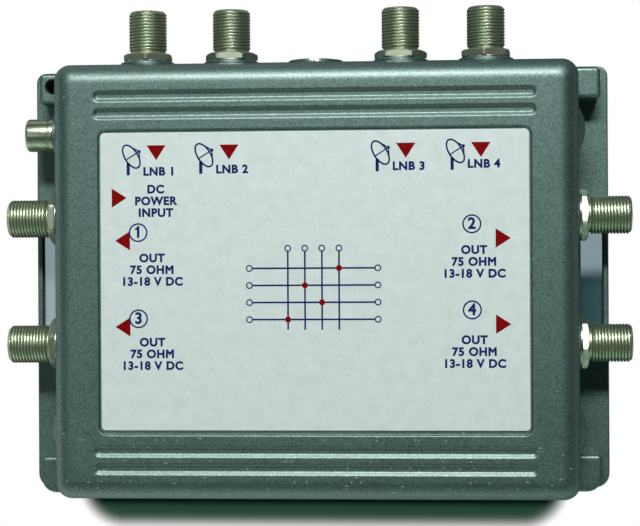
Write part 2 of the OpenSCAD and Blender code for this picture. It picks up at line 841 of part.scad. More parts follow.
housing();
label();
rear_cover();
cover_gasket();
cover_screws();
for (i = [0 : 3]) {
    at_dish(i) port_shell(dish_grip, dish_turn[i]);
    at_dish(i) port_insulator(dish_grip);
    at_dish(i) port_contact(dish_grip);
}
for (i = [0 : 3]) {
    at_receiver(i) port_shell(receiver_grip, receiver_turn[i]);
    at_receiver(i) port_insulator(receiver_grip);
    at_receiver(i) port_contact(receiver_grip);
}
port_washers();
power_jack_shell();
power_jack_insulator();
power_jack_contact();
power_jack_nut();
ground_screw();
ground_washer();
circuit_board();
board_screws();
shield_frame();
shield_lid();
switch_chips();
decoder_chips();
choke_coils();
filter_capacitors();
voltage_regulator();
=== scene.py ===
"""Looks of a satellite multiswitch, a painted die-cast housing with threaded ports, over its CAD frame."""

import math

import bmesh
import bpy
import numpy as np
from bpy.props import FloatProperty, FloatVectorProperty, PointerProperty
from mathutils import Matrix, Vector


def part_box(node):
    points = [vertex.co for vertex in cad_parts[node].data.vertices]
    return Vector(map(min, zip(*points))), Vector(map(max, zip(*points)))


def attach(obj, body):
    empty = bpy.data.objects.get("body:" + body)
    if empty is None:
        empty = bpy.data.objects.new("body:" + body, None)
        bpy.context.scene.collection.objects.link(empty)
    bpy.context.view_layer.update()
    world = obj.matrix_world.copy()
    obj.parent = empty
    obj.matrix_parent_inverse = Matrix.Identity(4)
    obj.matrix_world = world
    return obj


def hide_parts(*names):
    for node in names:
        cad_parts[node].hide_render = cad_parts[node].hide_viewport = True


bl_info = {
    "name": "Satellite multiswitch",
    "version": (1, 0, 0),
    "blender": (4, 5, 0),
    "location": "View3D > Sidebar > Multiswitch",
    "description": "Dresses the CAD frame of a satellite multiswitch",
    "category": "Add Mesh",
}

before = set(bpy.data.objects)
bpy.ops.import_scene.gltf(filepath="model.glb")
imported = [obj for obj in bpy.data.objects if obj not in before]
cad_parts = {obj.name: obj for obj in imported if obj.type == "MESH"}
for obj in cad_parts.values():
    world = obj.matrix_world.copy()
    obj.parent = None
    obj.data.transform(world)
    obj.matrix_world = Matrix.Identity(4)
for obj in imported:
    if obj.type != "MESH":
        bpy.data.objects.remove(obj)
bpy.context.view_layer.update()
MM = 0.001

# Faces that meet at a larger angle than this keep a sharp edge.
CREASE = math.radians(28)
# Radius of a cover screw's head.
COVER_HEAD_R = 2.3 * MM
# Steps of the front face's grid across its grooves and recess edges, and elsewhere.
FACE_FINE = 0.14 * MM
FACE_COARSE = 4 * MM
# Signs of a rectangle's corners, anticlockwise.
CORNERS = ((1, -1), (1, 1), (-1, 1), (-1, -1))
# Each row of ports: the turn of each hex in degrees, then the row's local x axis and its outward axis.
PORT_ROWS = [
    ({"dish_port_1": 33, "dish_port_2": 0, "dish_port_3": -4, "dish_port_4": 23}, (1, 0, 0), (0, 1, 0)),
    ({"receiver_port_1": 30, "receiver_port_3": 19}, (0, 0, 1), (-1, 0, 0)),
    ({"receiver_port_2": 18, "receiver_port_4": 12}, (0, 0, -1), (1, 0, 0)),
]


def node_box(name):
    """Lowest and highest corner of a CAD node as arrays, in metres."""
    low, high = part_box(name)
    return np.array(low), np.array(high)


def node_centre(name):
    """Middle of a CAD node's box, in metres."""
    low, high = node_box(name)
    return (low + high) / 2


HOUSING_LOW, HOUSING_HIGH = node_box("housing")
LABEL_LOW, LABEL_HIGH = node_box("label")


def length(name, default, description):
    """A size in metres, shown in the scene's length unit."""
    return FloatProperty(
        name=name,
        description=description,
        default=default,
        min=0.0,
        precision=5,
        unit="LENGTH",
        subtype="DISTANCE",
    )


def angle(name, degrees, description):
    """An angle, kept in radians and shown in degrees."""
    return FloatProperty(name=name, description=description, default=math.radians(degrees), unit="ROTATION")


def number(name, default, description, unit="NONE"):
    """A plain number, or one in a unit of its own."""
    return FloatProperty(name=name, description=description, default=default, min=0.0, unit=unit)


def colour(name, default, description):
    """A linear colour."""
    return FloatVectorProperty(
        name=name, description=description, default=default, size=3, min=0.0, max=1.0, subtype="COLOR"
    )


class CastingSizes(bpy.types.PropertyGroup):
    """Sizes of the die-cast housing."""

    body_d: length("Depth", float(HOUSING_HIGH[2]), "Depth of the casting from the wall to the front face")
    body_h: length("Height", float(-2 * HOUSING_LOW[1]), "Height of the casting at its back edge")
    reach: length("Reach", float(HOUSING_HIGH[0]), "Distance from the middle to a flange's outer edge")
    flange_w: length("Flange width", 8.35 * MM, "Reach of each mounting flange past the casting")
    draft: angle("Draft", 1.5, "Lean of the side walls")
    corner_r: length("Corner radius", 4.4 * MM, "Radius of the upright corners at the back edge")
    face_inset: length("Face inset", 6.5 * MM, "Distance from the casting's edge to the front face's grid")
    hollow_r: length("Hollow corner", 4.1 * MM, "Corner radius of the space inside the casting")
    rim_r: length("Rim radius", 5 * MM, "Radius of the round between the walls and the front face")
    wall: length("Wall", 2.4 * MM, "Thickness of the side walls")
    front_wall: length("Front wall", 2.6 * MM, "Thickness of the front wall")
    soft_edge: length("Soft edge", 0.35 * MM, "Radius of the cast edges")
    recess_gap: length("Recess gap", 0.9 * MM, "Gap between the label and the edge of its recess")
    recess_depth: length("Recess depth", 0.6 * MM, "Depth of the label recess")
    recess_r: length("Recess radius", 2.5 * MM, "Corner radius of the label recess")
    groove_l: length("Groove length", 109.6 * MM, "Length of a groove from end to end")
    groove_w: length("Groove width", 3.1 * MM, "Width of a groove at the front face")
    groove_depth: length("Groove depth", 0.52 * MM, "Depth of a groove")
    groove_wall: length("Groove wall", 1.15 * MM, "Width of a groove's sloping wall")
    groove_pitch: length("Groove pitch", 4.35 * MM, "Distance between the two grooves of a pair")
    groove_inset: length("Groove inset", 8.95 * MM, "Distance from the casting's edge to the outer groove")
    low_shift: length("Lower shift", 0.55 * MM, "How much farther out the lower grooves and recess edge lie")
    flange_t: length("Flange thickness", 3 * MM, "Thickness of the flanges")
    flange_short: length("Flange shortfall", 0.5 * MM, "How far the flanges stay short of the casting's ends")
    flange_low_r: length("Lower flange corner", 4 * MM, "Radius of the lower outer corner of a flange")
    flange_top_r: length("Upper flange corner", 2.5 * MM, "Radius of the upper outer corner of a flange")
    pad_l: length("Pad length", 8.95 * MM, "Length from an upper pad's inner end to the flange's end")
    pad_short: length("Pad shortfall", 1 * MM, "How far the upper pads stay short of the flange's end")
    pad_low_l: length("Lower pad length", 9.35 * MM, "Length of a lower end pad")
    pad_low_r: length("Lower pad corner", 3.8 * MM, "Radius of a lower pad's outer corner")
    right_trim: length("Right trim", 0.7 * MM, "How much higher the right flange's lower end lies")
    pad_rise: length("Pad rise", 8.3 * MM, "Rise of a pad above the flange")
    pad_margin: length("Pad margin", 2.6 * MM, "Strip of flange left outside a pad")
    pad_r: length("Pad corner", 1.2 * MM, "Radius of a pad's upright corners")
    window_l: length("Window length", 25 * MM, "Length of the window in a flange")
    window_in: length("Window inset", 1.3 * MM, "Strip of flange between the casting and the window")
    window_rail: length("Window rail", 1.4 * MM, "Strip of flange outside the window")
    window_r: length("Window corner", 1 * MM, "Corner radius of the window")
    wall_hole_x: length("Wall hole across", 67.98 * MM, "Distance of the wall hole left of the middle")
    wall_hole_y: length("Wall hole up", 49.95 * MM, "Distance of the wall hole above the middle")
    wall_hole_d: length("Wall hole", 3.6 * MM, "Diameter of the wall screw's hole")
    wall_sink_d: length("Wall hole countersink", 4.2 * MM, "Diameter of the wall hole's countersink")
    bulge_in: length("Bulge inset", 17.5 * MM, "Distance from the casting's ends to a side bulge")
    bulge_r: length("Bulge radius", 10 * MM, "Radius of a side bulge")
    bulge_out: length("Bulge reach", 1.4 * MM, "How far a bulge stands out of the casting's back edge")
    bulge_h: length("Bulge height", 19.5 * MM, "Height of a bulge from the wall")
    boss_d: length("Boss diameter", 14 * MM, "Diameter of the round bosses under the ports")
    jack_seat_d: length("Jack seat", 11 * MM, "Diameter of the power jack's seat")
    ground_recess_d: length("Ground recess", 10.4 * MM, "Diameter of the ground terminal's recess")
    wire_notch_w: length("Wire notch", 2.6 * MM, "Width of the wire notches in the ring")
    rebate_depth: length("Rebate depth", 2.1 * MM, "Depth of the step for the rear cover and its gasket")
    ledge: length("Ledge", 1.5 * MM, "Width of the ledge that the gasket lies on")
    post_d: length("Post diameter", 8 * MM, "Diameter of the cover posts")


class PortSizes(bpy.types.PropertyGroup):
    """Sizes of the threaded ports, the power jack and the ground terminal."""

    thread_d: length("Thread", 9.525 * MM, "Diameter over the thread")
    thread_l: length("Thread length", 10.75 * MM, "Length of the threaded barrel")
    thread_pitch: length("Thread pitch", 25.4 / 32 * MM, "Pitch of the port thread, 32 turns to the inch")
    thread_cut: length("Thread depth", 0.47 * MM, "Depth of the port thread")
    hex_af: length("Hex", 11.7 * MM, "Width of the hex across its flats")
    hex_t: length("Hex thickness", 1.8 * MM, "Thickness of the hex")
    washer_t: length("Washer thickness", 0.4 * MM, "Thickness of the washer under a hex")
    washer_d: length("Washer diameter", 12.2 * MM, "Diameter of the washer under a hex")
    spigot_d: length("Spigot", 9 * MM, "Diameter of the spigot in the casting")
    mouth_chamfer: length("Mouth chamfer", 0.6 * MM, "Chamfer at the mouth of the barrel")
    fit: length("Fit", 0.05 * MM, "Working clearance of seated round pieces")
    jack_tip: length("Jack tip", 0.7 * MM, "Round at the tip of the power jack")
    jack_base_l: length("Jack base", 1.3 * MM, "Length of the power jack's collar")
    jack_d: length("Jack barrel", 8.3 * MM, "Diameter of the power jack's barrel")
    slot_w: length("Screw slot", 1.2 * MM, "Width of the ground screw's slot")
    ground_thread_d: length("Ground thread", 5 * MM, "Diameter of the ground screw's thread")
    ground_pitch: length("Ground pitch", 0.8 * MM, "Pitch of the ground screw's thread")
    ground_head_t: length("Ground head", 2 * MM, "Thickness of the ground screw's head")


class PrintSizes(bpy.types.PropertyGroup):
    """Sizes of the marks printed on the label."""

    ink_t: length("Ink", 0.02 * MM, "Thickness of the ink")
    line_w: length("Line", 0.3 * MM, "Width of the thin printed lines")
    letter_h: length("Letter height", 1.95 * MM, "Height of the printed capitals")
    bold: length("Bold", 0.135 * MM, "Growth of the printed capitals all round")
    number_h: length("Number height", 2.7 * MM, "Height of the circled numbers")
    ring_r: length("Number ring", 2.15 * MM, "Radius of the ring round a number")
    arrow_w: length("Arrow width", 4.75 * MM, "Width of an arrow at its base")
    arrow_l: length("Arrow length", 3.7 * MM, "Length of an arrow")


class Colours(bpy.types.PropertyGroup):
    """Colours of the finishes."""

    paint_dark: colour("Paint shade", (0.018, 0.054, 0.047), "Darker flakes of the casting's paint")
    paint_light: colour("Paint light", (0.094, 0.196, 0.172), "Lighter flakes of the casting's paint")
    film: colour("Label film", (0.60, 0.68, 0.665), "Pale film of the label")
    blue: colour("Blue ink", (0.007, 0.015, 0.088), "Blue ink of the label")
    red: colour("Red ink", (0.155, 0.001, 0.0015), "Red ink of the label")
    nickel: colour("Nickel", (0.435, 0.50, 0.37), "Nickel plate of the ports")
    tarnish: colour("Tarnish", (0.22, 0.26, 0.16), "Dull patches of the nickel plate")
    steel: colour("Steel", (0.56, 0.57, 0.57), "Zinc-plated steel")
    bead: colour("Bead", (0.78, 0.77, 0.70), "Plastic bead in a port's mouth")
    dust: colour("Dust", (0.60, 0.68, 0.66), "Dust and scuffs on the paint")
    chip: colour("Chip", (0.02, 0.03, 0.03), "Small chips in the paint")


class StageSettings(bpy.types.PropertyGroup):
    """Camera, light and floor."""

    eye: FloatVectorProperty(
        name="Camera place",
        description="Camera's place in the shared frame",
        default=(30.397 * MM, 4.633 * MM, 438.53 * MM),
        size=3,
        unit="LENGTH",
        subtype="XYZ",
    )
    tilt: FloatVectorProperty(
        name="Camera turn",
        description="Camera's turns about X, Y and Z, Z first",
        default=(math.radians(-0.04), math.radians(3.985), math.radians(-0.32)),
        size=3,
        unit="ROTATION",
        subtype="EULER",
    )
    lens: number("Lens", 94.87, "Focal length on a 36 mm sensor", "CAMERA")
    key_azimuth: angle("Key azimuth", 1, "Turn of the key light from the top edge towards the right")
    key_elevation: angle("Key elevation", 53, "Height of the key light above the floor")
    lamp_distance: length("Lamp distance", 1.6, "Distance of both lights from the middle")
    key_width: length("Key width", 0.80, "Long side of the key light")
    key_height: length("Key height", 0.20, "Short side of the key light")
    key_power: number("Key power", 29.5, "Power of the key light", "POWER")
    key_tint: colour("Key tint", (1.0, 1.0, 1.0), "Colour of the key light")
    fill_azimuth: angle("Fill azimuth", -90, "Turn of the fill light from the top edge towards the right")
    fill_elevation: angle("Fill elevation", 63, "Height of the fill light above the floor")
    fill_width: length("Fill width", 0.50, "Long side of the fill light")
    fill_height: length("Fill height", 0.50, "Short side of the fill light")
    fill_power: number("Fill power", 0.8, "Power of the fill light", "POWER")
    fill_tint: colour("Fill tint", (0.86, 1.0, 0.97), "Colour of the fill light")
    sky: number("Sky", 0.66, "Strength of the soft light from low on all sides")
    zenith: number("Zenith", 0.012, "Strength of the soft light from above")
    floor_size: length("Floor", 4.0, "Side of the square floor")


def arithmetic(operation, swapped=False):
    """A method that adds a Math node: a wire first and the other value second, or swapped."""

    def method(self, other=0.0):
        first, second = (other, self) if swapped else (self, other)
        return self.node("ShaderNodeMath", {"operation": operation}, {0: first, 1: second})

    return method


class Wire:
    """An output socket of a shader; arithmetic on it adds Math nodes to its tree."""

    def __init__(self, tree, socket=None):
        self.tree = tree
        self.socket = socket

    def node(self, kind, settings=None, inputs=None, output=0):
        """Adds a node of a type: its settings first, then the values or links of its sockets."""
        made = self.tree.nodes.new(kind)
        for name, value in (settings or {}).items():
            setattr(made, name, value)
        for name, value in (inputs or {}).items():
            if isinstance(value, Wire):
                self.tree.links.new(value.socket, made.inputs[name])
            else:
                made.inputs[name].default_value = value
        return Wire(self.tree, made.outputs[output] if made.outputs else None)

    __add__ = arithmetic("ADD")
    __radd__ = arithmetic("ADD", True)
    __sub__ = arithmetic("SUBTRACT")
    __rsub__ = arithmetic("SUBTRACT", True)
    __mul__ = arithmetic("MULTIPLY")
    __rmul__ = arithmetic("MULTIPLY", True)
    __pow__ = arithmetic("POWER")
    __abs__ = arithmetic("ABSOLUTE")
    __gt__ = arithmetic("GREATER_THAN")
    __lt__ = arithmetic("LESS_THAN")
    most = arithmetic("MAXIMUM")

    def blend(self, low, high):
        """Colour between two colours or colour wires, by this value."""
        ends = {6: low, 7: high}
        ends = {k: v if isinstance(v, Wire) else (*v, 1.0) for k, v in ends.items()}
        return self.node("ShaderNodeMix", {"data_type": "RGBA", "clamp_factor": True}, {0: self, **ends}, 2)

    def ramp(self, low, high):
        """0 below low, 1 above high and smooth between."""
        settings = {"interpolation_type": "SMOOTHSTEP"}
        return self.node("ShaderNodeMapRange", settings, {"Value": self, "From Min": low, "From Max": high})

    def noise(self, size, detail=2.0, roughness=0.5):
        """Noise whose lumps are about that size in metres."""
        inputs = {"Vector": self, "Scale": 1 / size, "Detail": detail, "Roughness": roughness}
        return self.node("ShaderNodeTexNoise", {}, inputs)

    def cells(self, size, output, flat=False):
        """Scattered cells about that size in metres, or columns of them along Z."""
        settings = {"voronoi_dimensions": "2D" if flat else "3D"}
        return self.node("ShaderNodeTexVoronoi", settings, {"Vector": self, "Scale": 1 / size}, output)

    def stretched(self, scale, turn=0):
        """These coordinates turned about Z by degrees, after they are multiplied along each axis."""
        inputs = {"Vector": self, "Scale": scale, "Rotation": (0, 0, math.radians(turn))}
        return self.node("ShaderNodeMapping", {}, inputs)

    def part(self, output):
        """One axis of a vector, or one channel of a colour read as a vector."""
        return self.node("ShaderNodeSeparateXYZ", {}, {"Vector": self}, output)

    def bump(self, depth, strength=1.0):
        """Normal of a surface with this height, in metres of depth."""
        return self.node("ShaderNodeBump", {}, {"Height": self, "Distance": depth, "Strength": strength})


def new_finish(name):
    """A bare material and the object coordinates in it."""
    material = bpy.data.materials.new(name)
    material.use_nodes = True
    material.node_tree.nodes.clear()
    place = Wire(material.node_tree).node("ShaderNodeTexCoord", output="Object")
    return material, place


def finished(material, place, **sockets):
    """Ends a material in a Principled shader with those sockets set or linked."""
    inputs = {name.replace("_", " ").title().replace("Ior", "IOR"): value for name, value in sockets.items()}
    shader = place.node("ShaderNodeBsdfPrincipled", {}, inputs)
    place.node("ShaderNodeOutputMaterial", {}, {"Surface": shader})
    return material


def shaded(tone, share, lift=0.0):
    """A tone made darker or lighter by a share and a lift."""
    return tuple(min(1, share * c + lift) for c in tone)


def casting_paint():
    """Grey-green metallic paint: fine flakes and grain, soft mottling, dust and scuffs, mostly low down."""
    tones = bpy.context.scene.multiswitch_colours
    material, place = new_finish("casting_paint")
    flake = place.cells(0.12 * MM, "Color").part("X")
    cloud = place.noise(14 * MM, 3.0)
    grain = place.noise(0.46 * MM, 3.0, 0.6)
    tone = 0.08 + 0.42 * flake ** 3 + 0.52 * grain.ramp(0.32, 0.68) + 0.22 * cloud
    paint = tone.blend(tones.paint_dark, tones.paint_light)
    low_edge = 1 - place.part("Y").ramp(-50 * MM, -30 * MM)
    face_level = 24 * MM
    front = place.part("Z") > face_level
    speck = place.cells(1.7 * MM, "Distance", True)
    specks = (speck < 0.13) * (place.cells(1.7 * MM, "Color", True).part("Y") + 0.16 * low_edge > 0.985)
    slanted = place.stretched((0.35, 1.0, 1.0), 24)
    scuffs = (slanted.cells(2.3 * MM, "Distance", True) < 0.07) * (
        slanted.cells(2.3 * MM, "Color", True).part("X") + 0.24 * low_edge > 1.0)
    dust = front * specks.most(scuffs)
    chip = (place.cells(21 * MM, "Distance") < 0.018) * (place.cells(21 * MM, "Color").part("X") > 0.55)
    dusted = (0.45 * dust).blend(paint, tones.dust)
    chipped = (0.85 * chip).blend(dusted, tones.chip)
    rough = 0.54 + 0.10 * (flake - 0.5) + 0.12 * (cloud - 0.5) + 0.25 * dust
    peel = grain + 0.5 * place.noise(1.3 * MM, 1.0)
    return finished(
        material,
        place,
        base_color=chipped,
        metallic=0.9,
        roughness=rough,
        specular_tint=(0.42, 0.52, 0.50, 1.0),
        coat_weight=0.65 + 0.35 * grain.ramp(0.32, 0.68),
        coat_ior=1.85,
        coat_roughness=0.42,
        normal=peel.bump(0.022 * MM, 0.8),
    )


def label_film():
    """Pale matt film with a faint silver cloud and a fine grain."""
    tones = bpy.context.scene.multiswitch_colours
    material, place = new_finish("label_film")
    cloud = place.noise(3.2 * MM, 4.0, 0.62)
    grain = place.noise(0.5 * MM, 2.0)
    mottle = (0.55 * cloud + 0.45 * grain).ramp(0.25, 0.75)
    return finished(
        material,
        place,
        base_color=mottle.blend(shaded(tones.film, 0.93), shaded(tones.film, 1.06)),
        metallic=0.12,
        roughness=0.42 + 0.2 * (cloud - 0.5),
        normal=grain.bump(0.006 * MM, 0.6),
    )


def ink(name, tone):
    """Screen ink: a little uneven in tone, dull, with a slight tooth."""
    material, place = new_finish(name)
    cloud = place.noise(0.6 * MM, 3.0)
    colour_of_ink = cloud.ramp(0.3, 0.8).blend(tone, shaded(tone, 1.5, 0.002))
    return finished(
        material,
        place,
        base_color=colour_of_ink,
        roughness=0.6 + 0.2 * (cloud - 0.5),
        specular_ior_level=0.03,
        normal=cloud.bump(0.004 * MM),
    )


def plated(name, bright, dull, rough):
    """Plated metal: dull patches over the bright plate, fine pits and a soft wavy sheen."""
    material, place = new_finish(name)
    patch = place.noise(2.4 * MM, 4.0, 0.65)
    pits = place.noise(0.25 * MM, 2.0)
    plate = (patch.ramp(0.45, 0.85) * 0.8).blend(bright, dull)
    sheen = rough + 0.16 * (patch - 0.5) + 0.10 * (pits - 0.5)
    return finished(
        material, place, base_color=plate, metallic=1.0, roughness=sheen, normal=pits.bump(0.004 * MM, 0.5)
    )


def rolled(name, tone, rough, direction):
    """Rolled sheet: fine streaks along one axis over a cloudy plate."""
    material, place = new_finish(name)
    streak = place.stretched(direction).noise(0.4 * MM, 3.0)
    cloud = place.noise(9 * MM, 3.0)
    sheet = (0.5 * streak + 0.5 * cloud).ramp(0.3, 0.7).blend(shaded(tone, 0.78), tone)
    return finished(
        material,
        place,
        base_color=sheet,
        metallic=1.0,
        roughness=rough + 0.2 * (streak - 0.5) + 0.1 * (cloud - 0.5),
        normal=streak.bump(0.004 * MM, 0.6),
    )


def moulded(name, tone, rough):
    """Moulded plastic, rubber or ceramic: a faint cloud in its tone and a fine grain."""
    material, place = new_finish(name)
    cloud = place.noise(3 * MM, 3.0)
    grain = place.noise(0.3 * MM, 2.0)
    body = (0.6 * cloud + 0.4 * grain).ramp(0.25, 0.75).blend(shaded(tone, 0.8), tone)
    return finished(
        material,
        place,
        base_color=body,
        roughness=rough + 0.15 * (grain - 0.5),
        normal=grain.bump(0.01 * MM, 0.5),
    )


def laminate():
    """Green solder mask with a faint weave and copper tracks that show through it."""
    material, place = new_finish("board_laminate")
    weave_x = place.stretched((1.0, 0.12, 1.0)).noise(0.5 * MM, 1.0)
    weave_y = place.stretched((0.12, 1.0, 1.0)).noise(0.5 * MM, 1.0)
    track = place.stretched((0.3, 1.0, 1.0)).cells(3.0 * MM, "Distance").ramp(0.30, 0.36)
    mask = (0.5 * weave_x + 0.5 * weave_y).blend((0.006, 0.060, 0.024), (0.016, 0.110, 0.045))
    board = (0.55 * track).blend(mask, (0.030, 0.160, 0.060))
    return finished(
        material,
        place,
        base_color=board,
        roughness=0.36 + 0.15 * (weave_x - 0.5),
        normal=track.bump(0.03 * MM, 0.5),
    )


def pale_floor():
    """Pale floor: painted shadow, dark and tinted, under and just below the object, even white farther out.

    The white starts at the flanges' outline, whose right lower end lies a little higher, and behind a soft
    shadow along the lower edge, where the floor's own colour adds painted shadow. The floor seen through the
    left window and through the upper half of the right one gets painted light, a tinted glow, and the floor's
    colour is a darker painted shade on the right. Shiny surfaces mirror less of it on the right and above."""
    material, place = new_finish("pale_floor")
    sizes = bpy.context.scene.multiswitch_casting
    half_h = sizes.body_h / 2
    flange_r, window_half, painted_light_level = 3.2 * MM, 15 * MM, 0.34
    shadow_w, shadow_h, shadow_r, shadow_soft = 58 * MM, 4 * MM, 6 * MM, 7.2 * MM
    x, y = place.part("X"), place.part("Y")
    below = -1 * y - half_h
    on_right = x > 0.0

    def past(up, half_w, half_h, corner):
        """Distance past a rounded rectangle's edge."""
        over_x = (abs(x) - half_w + corner).most(0.0)
        over_y = (up - half_h + corner).most(0.0)
        return (over_x**2 + over_y**2) ** 0.5 - corner

    raised = sizes.right_trim * (on_right * (y < 0.0))
    outside = past(abs(y) + raised, sizes.reach, half_h - sizes.flange_short, flange_r)
    fade = past(below, shadow_w, shadow_h, shadow_r).ramp(0.0, shadow_soft) ** 3
    rays = ("Camera", "Glossy", "Transmission")
    camera, glossy, through = (place.node("ShaderNodeLightPath", output=f"Is {ray} Ray") for ray in rays)
    edge = outside.ramp(-0.2 * MM, 0.5 * MM)
    # Emission colour: white far out, tinted near the outline, where it gives the painted light in the
    # windows.
    white_and_painted_glow = edge.blend((0.64, 0.88, 0.95), (1, 1, 1))
    white = place.node("ShaderNodeEmission", {}, {"Color": white_and_painted_glow, "Strength": 1.0})
    # Painted shade: the floor's colour is darker on the right, for the right window's lower half; then
    # painted shadow, dark green just below the lower edge, turning to a lighter green tint farther below.
    tone = on_right.blend((0.144, 0.160, 0.165), (0.040, 0.090, 0.095))
    tone = below.ramp(-6 * MM, 1 * MM).blend(tone, (0.008, 0.040, 0.028))
    tone = below.ramp(2.6 * MM, 5.1 * MM).blend(tone, (0.14, 0.35, 0.22))
    matt = place.node("ShaderNodeBsdfDiffuse", {}, {"Color": tone})
    # Painted light: a share of the tinted glow on the floor seen through the left window and the upper half
    # of the right one.
    painted_window_light = (abs(y) < window_half) * (x < 0.0).most(y.ramp(-1 * MM, 4 * MM))
    seen = edge.most(painted_light_level * painted_window_light) * camera.most(through)
    right = x.ramp(-50 * MM, 100 * MM)
    above = y.ramp(20 * MM, 90 * MM)
    mirrored = outside.ramp(0.0, 60 * MM) * glossy * (1 - 0.7 * right) * (1 - 0.5 * above)
    factor = fade.most(y > 0.0) * seen.most(mirrored)
    mixed = place.node("ShaderNodeMixShader", {}, {0: factor, 1: matt, 2: white})
    place.node("ShaderNodeOutputMaterial", {}, {"Surface": mixed})
    return material


def area_lamp(name, stage):
    """A flat lamp turned to the object: cos(elevation) (sin, cos of azimuth) across, sin(elevation) up."""
    parts = ("width", "height", "power", "tint", "azimuth", "elevation")
    width, height, power, tint, azimuth, elevation = (getattr(stage, f"{name}_{part}") for part in parts)
    light = bpy.data.lights.new(name, "AREA")
    light.shape = "RECTANGLE"
    light.energy = power
    light.size = width
    light.size_y = height
    light.color = tint
    lamp = bpy.data.objects.new(name, light)
    flat = math.cos(elevation)
    toward = np.array([math.sin(azimuth) * flat, math.cos(azimuth) * flat, math.sin(elevation)])
    lamp.location = toward * stage.lamp_distance
    lamp.rotation_euler = (-lamp.location).to_track_quat("-Z", "Y").to_euler()
    return lamp


def soft_sky(stage):
    """Soft light that is weak overhead and grows towards the horizon, more on the left and in front."""
    world = bpy.data.worlds.new("soft_sky")
    world.use_nodes = True
    world.node_tree.nodes.clear()
    toward = Wire(world.node_tree).node("ShaderNodeTexCoord", output="Generated")
    low = (1 - toward.part("Z").most(0.0)) ** 1.3
    side = (0.22 - 0.30 * toward.part("X") - 1.9 * toward.part("Y")).most(0.04)
    strength = stage.zenith + stage.sky * low * side
    sky = toward.node("ShaderNodeBackground", {}, {"Color": (0.78, 1.0, 0.87, 1.0), "Strength": strength})
    toward.node("ShaderNodeOutputWorld", {}, {"Surface": sky})
    return world


def arc(centre, radius, start, end, steps):
    """Arc points: centre + radius * (cos a, sin a) at even angles a from start to end, in degrees."""
    a = np.radians(np.linspace(start, end, steps + 1))
    return np.stack([centre[0] + radius * np.cos(a), centre[1] + radius * np.sin(a)], axis=1)


def circle(centre, radius, steps):
    """Closed circle of even steps."""
    return arc(centre, radius, 0, 360, steps)[:-1]


def filleted(corners, steps=5):
    """Open profile through (r, z, fillet radius) corners, each fillet an arc that touches both its sides."""
    corners = np.array(corners, float)
    runs = [corners[:1, :2]]
    for before, here, after in zip(corners[:-2], corners[1:-1], corners[2:]):
        if here[2] == 0:
            runs.append(here[None, :2])
            continue
        back = (before[:2] - here[:2]) / np.linalg.norm(before[:2] - here[:2])
        ahead = (after[:2] - here[:2]) / np.linalg.norm(after[:2] - here[:2])
        half = np.arccos(np.clip(back @ ahead, -1, 1)) / 2
        middle = here[:2] + (back + ahead) / np.linalg.norm(back + ahead) * here[2] / np.sin(half)
        first = here[:2] + back * here[2] / np.tan(half) - middle
        last = here[:2] + ahead * here[2] / np.tan(half) - middle
        t = np.linspace(0, 1, steps + 1)[:, None]
        turn = np.pi - 2 * half
        runs.append(middle + (np.sin((1 - t) * turn) * first + np.sin(t * turn) * last) / np.sin(turn))
    runs.append(corners[-1:, :2])
    return np.concatenate(runs)


def grid_solid(points, close_rows=False, close_columns=True):
    """Quads between neighbouring points of a (rows, columns, 3) grid, which may close on itself both ways."""
    rows, columns = points.shape[:2]
    index = np.arange(rows * columns).reshape(rows, columns)
    if close_columns:
        index = np.hstack([index, index[:, :1]])
    if close_rows:
        index = np.vstack([index, index[:1]])
    faces = np.stack([index[:-1, :-1], index[:-1, 1:], index[1:, 1:], index[1:, :-1]], axis=-1)
    return points.reshape(-1, 3), faces.reshape(-1, 4)


def around(columns):
    """Even angles round a full turn."""
    return 2 * np.pi * np.arange(columns) / columns


def circles(r, z, a):
    """Grid of points (r cos a, r sin a, z), with a row for each r and z and a column for each a."""
    return np.stack(np.broadcast_arrays(r * np.cos(a), r * np.sin(a), z), axis=2)


def turned(profile, columns=64, close_rows=False):
    """Surface of revolution: a profile point (r, z) becomes the circle (r cos a, r sin a, z)."""
    r, z = np.asarray(profile).T[:, :, None]
    return grid_solid(circles(r, z, around(columns)), close_rows)


def ring(half_w, half_h, radii, x_share=(), y_share=(), steps=6):
    """Closed rounded rectangle from the right side's lower end, anticlockwise.

    Sides hold points at the given shares of their straight half length, corners are arcs of the given radii
    in the order upper right, upper left, lower left, lower right."""
    radii = np.broadcast_to(radii, 4)
    signs = np.array([(1, 1), (-1, 1), (-1, -1), (1, -1)])
    middles = signs * (np.array([half_w, half_h]) - radii[:, None])
    outward = np.array([(1, 0), (0, 1), (-1, 0), (0, -1)])
    runs = []
    for k in range(4):
        start = middles[k - 1] + radii[k - 1] * outward[k]
        end = middles[k] + radii[k] * outward[k]
        t = (np.asarray(y_share if k % 2 == 0 else x_share)[:, None] + 1) / 2
        runs += [start + t * (end - start), arc(middles[k], radii[k], 90 * k, 90 * k + 90, steps)]
    return np.concatenate(runs)


def levelled(outline, z):
    """Flat points lifted to a height."""
    return np.column_stack([outline, np.full(len(outline), z)])


def capped(grid):
    """A grid whose first and last rows close to a point in their middle."""
    ends = [np.broadcast_to(row.mean(0), row.shape)[None] for row in (grid[0], grid[-1])]
    return np.concatenate([ends[0], grid, ends[1]])


def stacked(levels, middle=(0, 0)):
    """Closed solid through rounded rectangles: each level is (half width, half height, radii, z)."""
    grid = np.stack([levelled(ring(w, h, r), z) for w, h, r, z in levels])
    return grid_solid(capped(grid) + np.array([*middle, 0.0]))


